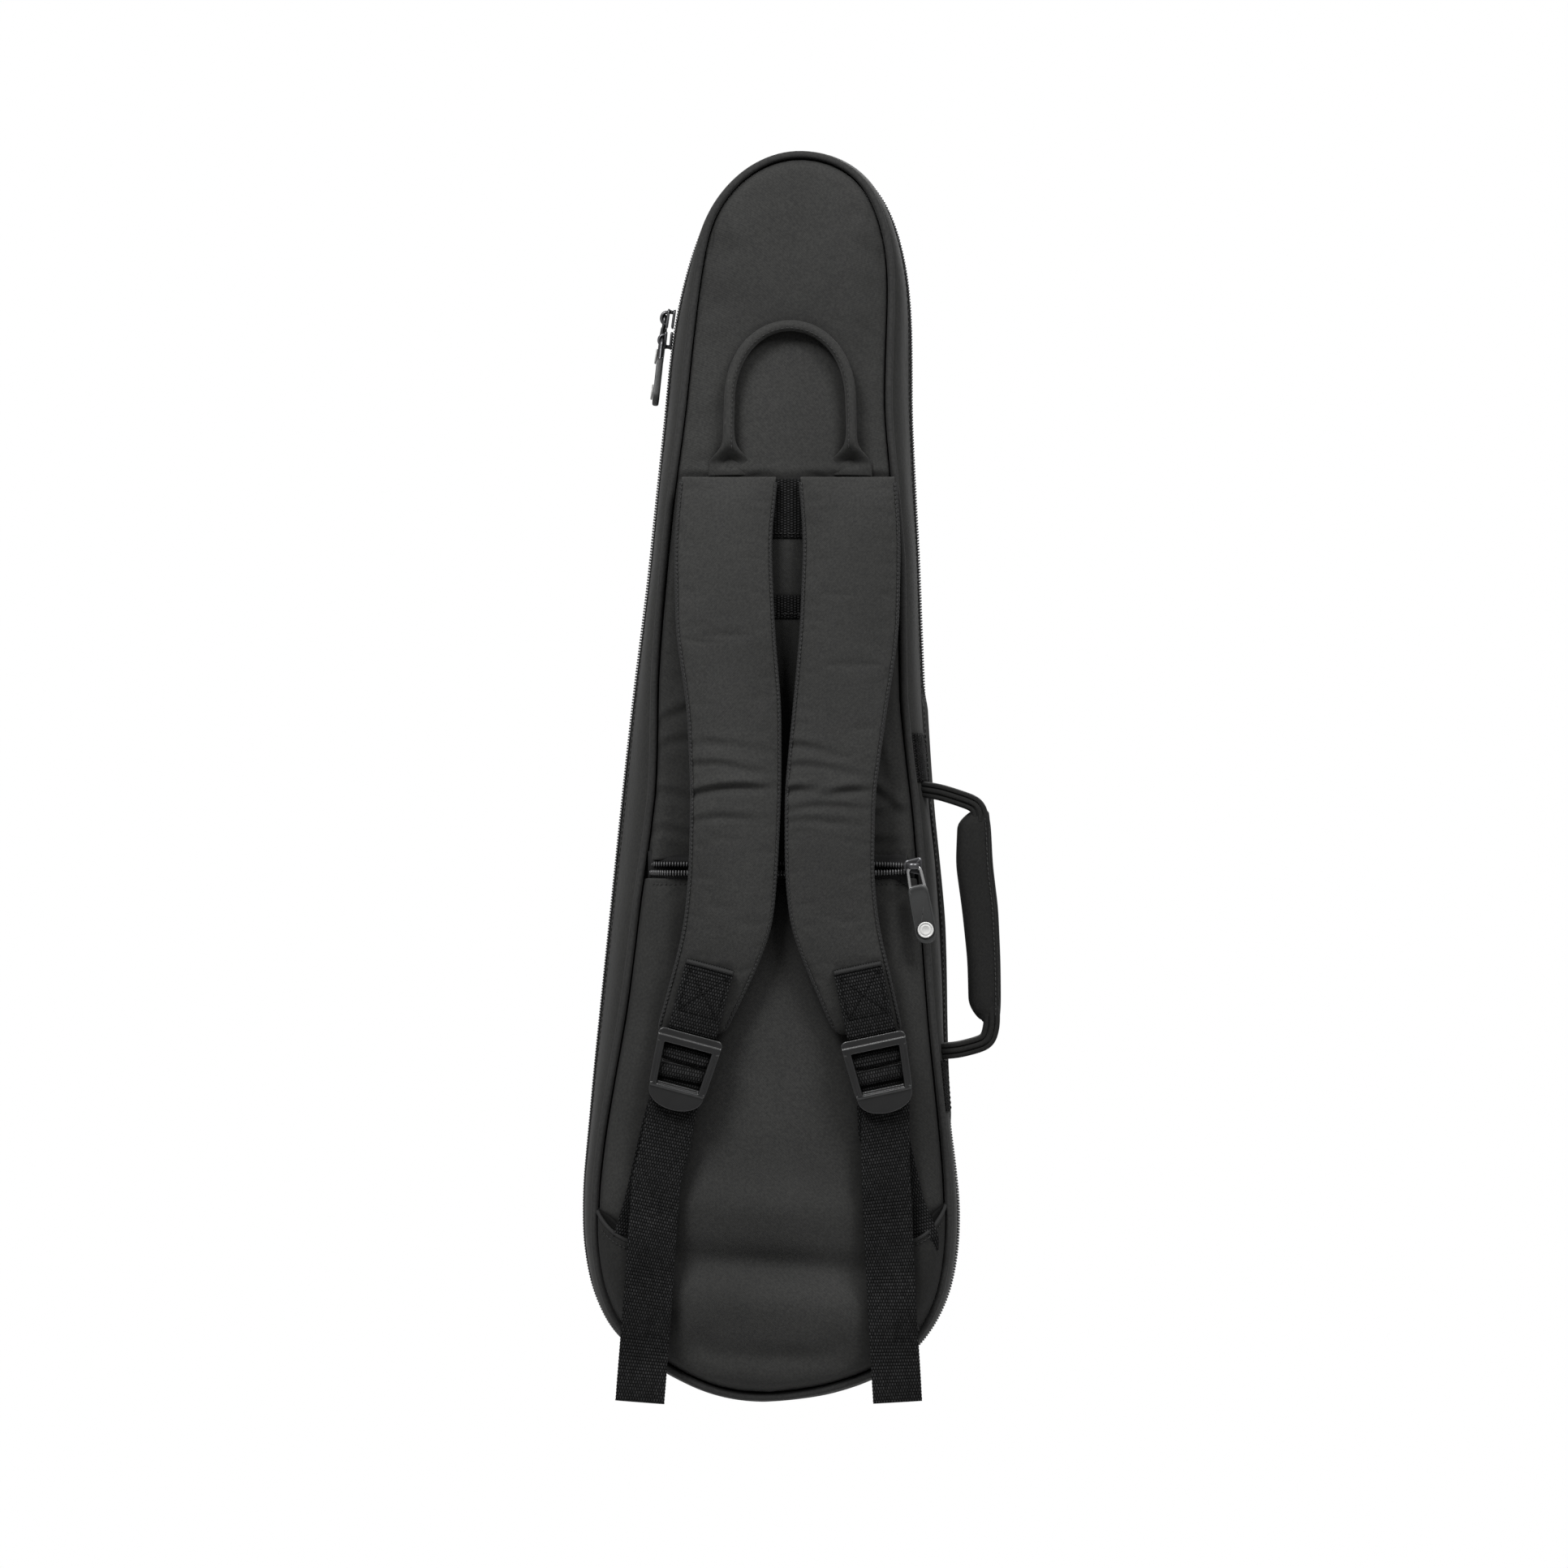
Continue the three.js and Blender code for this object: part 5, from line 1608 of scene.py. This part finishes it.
def make_handle_patch(which):
    """The flat webbing patch that holds a handle leg on the gusset."""
    node = f"handle_patch_{which}"
    first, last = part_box(node)
    steps = int(4 * (last.y - first.y) / WEBBING_RIB)
    rows, edges = [], []
    for i, y in enumerate(np.linspace(first.y, last.y, steps + 1)):
        share = (y - BACK) / (PARTING - BACK)
        lift = np.interp(share, *GUSSET_PUFF) + 0.9 * MM + 0.22 * MM * abs(math.sin(i * math.pi / 4))
        rows.append(at_depth(right_side(gusset_ring(share, lift), first.z, last.z, 24), y))
        if i in (6, steps - 6):
            edges.append((rows[-1] + (0.3 * MM, 0, 0), OUT_RIGHT))
    web = thickened(np.stack(rows), OUT_RIGHT, 1.3 * MM)
    build_one(f"{node}_webbing", web, "webbing", "shell", [node])
    stitches(f"{node}_stitches", edges, "shell", 2.4 * MM, "dark_thread")


# ---------- trim on the strap side ----------


def make_back_webbing(panel):
    """The ribbed webbing between the strap tops, and the ribbed band below it."""
    tree = tree_of(panel)
    for node, spare in (("neck_webbing", 0.0), ("cross_webbing", 24 * MM)):
        first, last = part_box(node)
        first.x, last.x = first.x + spare, last.x - spare
        level = (first.z + last.z) / 2
        flat = np.stack([np.linspace(first.x, last.x, 40), np.full(40, level)], axis=1)
        path = on_surface(tree, flat, 0.6 * MM)
        path[:, 1] = soften(np.minimum(path[:, 1], PANEL_FACE - 0.8 * MM), 12)
        web = webbing_strip(path, UP, last.z - first.z)
        build_one(f"{node}_cloth", web, "webbing", "shell", [node])
        line = path[2:-2] + (0, -0.95 * MM, first.z + 2 * MM - level)
        stitches(f"{node}_stitches", [(line, STRAP_SIDE)], "shell", 2.2 * MM)


# ---------- inside ----------


def make_board(node, y, facing, body):
    """A foam board covered in lining, puffed between its edges."""
    inset = SEAM[:, 0].max() - high(node).x
    ring = grown(SEAM, -inset)
    flat = filled(ring, HIP, SHOULDER, 30, 80)
    rise = rolled(distance_to(flat, ring), 9 * MM)
    half = (high(node).y - low(node).y) / 2
    face = at_depth(flat, y + facing * (half * (0.25 + 0.75 * rise)))
    face[..., 1] += facing * 0.5 * MM * ripple(face[..., 0], face[..., 2], 45 * MM, 0.5)
    back = at_depth(flat, y - facing * half)
    points = np.concatenate([face, back[:, ::-1]], axis=1)
    board = build_one(f"{node}_lining", points, "lining", body, [node])


def make_lining_wall(name, body, from_y, to_y):
    """The lining round the inside of one half, with the tape that binds its rim."""
    rings = []
    for y in np.linspace(from_y, to_y, 7):
        share = abs(y - from_y) / abs(PARTING - from_y)
        ring = gusset_ring(share, -GUSSET_WALL)
        waves = 0.3 * MM * ripple(np.linspace(0, 1.5, len(ring)), y, 12 * MM, 2.0)
        rings.append(at_depth(grown(ring, waves), y))
    outer = [at_depth(grown(r[:, [0, 2]], 5 * MM), r[0, 1]) for r in rings[::-1]]
    build_one(name, np.stack(rings + outer, axis=1), "lining", body, form=HOOP)
    rim = tube(rings[-1], 1.5 * MM, 10, closed=True)
    build_one(f"{name}_binding", rim, "binding", body, form=HOOP)


def make_neck_rest():
    """The padded block inside that holds the neck, with a round groove across it."""
    first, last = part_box("neck_rest")
    corners = corners_of("neck_rest")
    x = np.linspace(first.x, last.x, 60)
    centre = (first.x + last.x) / 2
    groove = corners[np.abs(corners[:, 0] - centre) < 12 * MM]
    bottom = float(groove[groove[:, 1] > first.y + 1 * MM][:, 1].min())
    radius = 28 * MM
    dip = bottom + radius - np.sqrt(np.maximum(radius**2 - (x - centre) ** 2, 0))
    top = np.where(np.abs(x - centre) < radius, np.minimum(last.y, dip), last.y)
    top = soften(top, 6)
    edge = np.minimum(x - first.x, last.x - x)
    top -= 4 * MM * (1 - np.clip(edge / (5 * MM), 0, 1)) ** 2
    rows = []
    length = last.z - first.z
    for share in np.linspace(0, 1, 16):
        tip = min(share, 1 - share) * length
        shrink = 2.5 * MM * (1 - min(1, tip / (4 * MM))) ** 2
        z = first.z + share * length
        upper, lower = columns_of(x, top - shrink, z), columns_of(x[::-1], first.y, z)
        rows.append(np.vstack([upper, lower]))
    rest = build_one("neck_rest_cloth", np.stack(rows), "lining", "shell", ["neck_rest"], 1)


# ---------- lid ----------


def make_front_panel():
    """The lid's plain padded panel."""
    flat = filled(SEAM_INSIDE, HIP, SHOULDER, 44, 130)
    depth = rolled(distance_to(flat, SEAM_INSIDE), 9 * MM)
    face = high("front_panel").y + 0.4 * MM
    points = at_depth(flat, from_seam(face, depth, FRONT - 0.8 * MM))
    points = billow(points, sheet_pins(points), LID_SIDE, cap=3.2 * MM, slack=0.006)
    points[..., 1] += 0.4 * MM * ripple(points[..., 0], points[..., 2], 30 * MM, 4.0) * depth
    closed = thickened(points, LID_SIDE)
    panel = build_one("front_panel_cloth", closed, "shell", "lid", ["front_panel"], 1)


def make_front_pocket():
    """The box pocket on the lid: a wall strip, a padded face, piping, and a zip along its top."""
    last = high("front_pocket_panel")
    ring = grown(SEAM, last.x - SEAM[:, 0].max() - 0.6 * MM)
    root, lip = high("front_panel").y - 1.5 * MM, last.y - 1.2 * MM
    make_front_pocket_wall(ring, last.z, root, lip)
    make_front_pocket_face(ring, last.z, lip)
    make_front_pocket_zip(root, lip)


def make_front_pocket_wall(ring, mouth, root, lip):
    """The strip that stands between the lid and the pocket's face, and the piping round its rim."""
    shoulder = mouth - 5 * MM
    left, right = index_at(ring, shoulder, "left"), index_at(ring, shoulder, "right")
    rim = span(ring, left, right + len(ring), 260)
    corner = 5 * MM
    top = even([(rim[-1, 0] - corner, mouth), (rim[0, 0] + corner, mouth)], 60)
    outline = soften(even(np.vstack([rim, top]), 360, closed=True), 3, closed=True)
    wall = []
    for share in (0, 0.12, 0.3, 0.5, 0.7, 0.88, 1):
        bulge = 1.1 * MM * math.sin(math.pi * share) - 0.6 * MM * share
        waves = 0.25 * MM * ripple(outline[:, 0], outline[:, 1] + share, 14 * MM, 1.2)
        wall.append(at_depth(grown(outline, bulge + waves), root + share * (lip - root)))
    inner = [at_depth(grown(outline, -2 * MM), y) for y in (lip, root)]
    points = np.stack(wall + inner, axis=1)
    build_one("front_pocket_wall", points, "shell", "lid", finer=1, form=HOOP)
    piping = tube(at_depth(grown(outline, -0.8 * MM), lip), 1.5 * MM, closed=True)
    build_one("front_pocket_piping", piping, "piping", "lid", form=HOOP)


def make_front_pocket_face(ring, mouth, lip):
    """The padded face of the pocket."""
    left, right = index_at(ring, HIP, "left"), index_at(ring, HIP, "right")
    inside = grown(ring, -1.4 * MM)
    foot = span(inside, left, right + len(ring), 44)
    sides = [
        span(inside, start, index_at(inside, mouth - 2 * MM, side), 66)
        for start, side in ((left, "left"), (right, "right"))
    ]
    top = even([sides[0][-1], sides[1][-1]], 44)
    flat = coons(foot, top, *sides)
    outline = np.vstack([foot, sides[1], top[::-1], sides[0][::-1]])
    depth = rolled(distance_to(flat, outline), 12 * MM)
    points = at_depth(flat, lip - 0.6 * MM + 1.0 * MM * depth)
    points = billow(points, sheet_pins(points), LID_SIDE, cap=1.6 * MM, slack=0.004)
    points[..., 1] += 0.35 * MM * ripple(points[..., 0], points[..., 2], 26 * MM, 6.0) * depth
    closed = thickened(points, LID_SIDE)
    face = build_one("front_pocket_face", closed, "shell", "lid", ["front_pocket_panel"], 1)


def make_front_pocket_zip(root, lip):
    """The two rows of the zip along the pocket's top: they part as they leave the slider."""
    inner, outer = "front_pocket_zip_inner", "front_pocket_zip_outer"
    slider = middle("front_pocket_slider")
    z = high(outer).z + 0.2 * MM
    x = np.linspace(low(inner).x, min(high(inner).x, slider.x - 3 * MM), 120)
    near = np.clip((x - x[-1]) / (40 * MM) + 1, 0, 1) ** 2
    closing = 0.35 + 0.65 * near
    for name, hand, open_y, hem in (
        (inner, -1, high(inner).y + 1.2 * MM, root),
        (outer, 1, low(outer).y + 1.5 * MM, lip - 1.5 * MM),
    ):
        y = open_y + (slider.y + hand * 1.7 * MM - open_y) * closing
        line = columns_of(x, y, z)
        teeth(f"{name}_teeth", line, LID_SIDE, UP, "lid", 2.6 * MM, [name], 1.4 * MM)
        between = columns_of(x, (hem + y) / 2, z - 0.7 * MM)
        zip_tape(name, line, columns_of(x, hem, z - 2.2 * MM), between, UP, "lid")


# ---------- stage ----------


def soft_light(name, offset, aim, size, watts):
    """A square soft light at an offset from what it is aimed at."""
    light = bpy.data.lights.new(name, "AREA")
    light.shape = "RECTANGLE"
    light.size = light.size_y = size
    light.energy = watts
    obj = bpy.data.objects.new(name, light)
    obj.location = aim + offset
    obj.rotation_euler = (-offset).to_track_quat("-Z", "Y").to_euler()
    bpy.context.scene.collection.objects.link(obj)


def make_stage():
    scene = bpy.context.scene
    scene.view_settings.view_transform = "Standard"
    world = bpy.data.worlds.new("studio")
    world.use_nodes = True
    tree = world.node_tree
    direction = shader_node(tree, "TexCoord")
    parts = shader_node(tree, "SeparateXYZ")
    tree.links.new(direction.outputs["Generated"], parts.inputs[0])
    behind = ramp(tree, parts.outputs[1], grey(0.24), WHITE, 0.86, 0.97)
    tree.links.new(behind, tree.nodes["Background"].inputs[0])
    scene.world = world
    lowest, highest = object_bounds()
    centre = (lowest + highest) / 2
    floor_z = lowest.z - 0.7
    bpy.ops.mesh.primitive_plane_add(size=2.4, location=(centre.x, centre.y + 0.1, floor_z))
    floor = bpy.context.object
    floor.name = "floor"
    material, tree, shader = new_look("floor_paint", 0.6)
    tone = ramp(tree, noise(tree, 3), grey(0.78), grey(0.84))
    tree.links.new(tone, shader.inputs["Base Color"])
    floor.data.materials.append(material)
    soft_light("key", Vector((-0.85, -1.5, 1.7)), centre, 0.7, 58)
    soft_light("fill", Vector((1.0, -1.4, 1.5)), centre, 0.7, 34)
    soft_light("rim", Vector((0.4, 1.8, 1.4)), centre, 1.2, 38)


def make_camera():
    """Straight at the strap side, from far off, with the framing of the photograph."""
    camera = bpy.data.cameras.new("photo_camera")
    camera.sensor_width = 36
    distance = 3.0
    seen = 0.811
    camera.lens = camera.sensor_width * distance / seen
    obj = bpy.data.objects.new("photo_camera", camera)
    obj.location = (-0.0009, BACK - distance, -0.2363)
    obj.rotation_euler = (math.pi / 2, 0, 0)
    bpy.context.scene.collection.objects.link(obj)
    bpy.context.scene.camera = obj


# ---------- everything in order ----------


def make_shell():
    panel = make_upper_panel()
    pocket = make_pocket_panel()
    make_piping("back_piping", BACK, "shell")
    make_gusset("rear_gusset", BACK, "shell", 1.0)
    make_main_zip_half("rear_main_zip", "shell", -1)
    make_back_pocket_zip(pocket)
    make_back_webbing(panel)
    make_board("back_padding", middle("back_padding").y, 1, "shell")
    make_lining_wall("rear_lining", "shell", BACK + 4 * MM, PARTING - 3 * MM)
    make_neck_rest()
    for side in ("left", "right"):
        make_corner(side, pocket)
        make_anchor(side)
    for which in ("upper", "lower"):
        make_handle_patch(which)


def make_lid():
    make_front_panel()
    make_piping("front_piping", FRONT, "lid")
    make_gusset("front_gusset", FRONT, "lid", 2.0)
    make_main_zip_half("front_main_zip", "lid", 1)
    make_board("front_padding", middle("front_padding").y, -1, "lid")
    make_lining_wall("front_lining", "lid", FRONT - 4 * MM, PARTING + 3 * MM)
    make_front_pocket()


def make_moving_parts():
    for side in ("left", "right"):
        make_strap_pad(side)
        make_strap_tab(side)
        make_ladder_lock(side)
        make_tail(side)
    make_grab_loop()
    make_grip()
    for which in ("upper", "lower"):
        make_handle_leg(which)
    make_all_sliders()
    make_spine()


make_shell()
make_lid()
make_moving_parts()
make_camera()
make_stage()
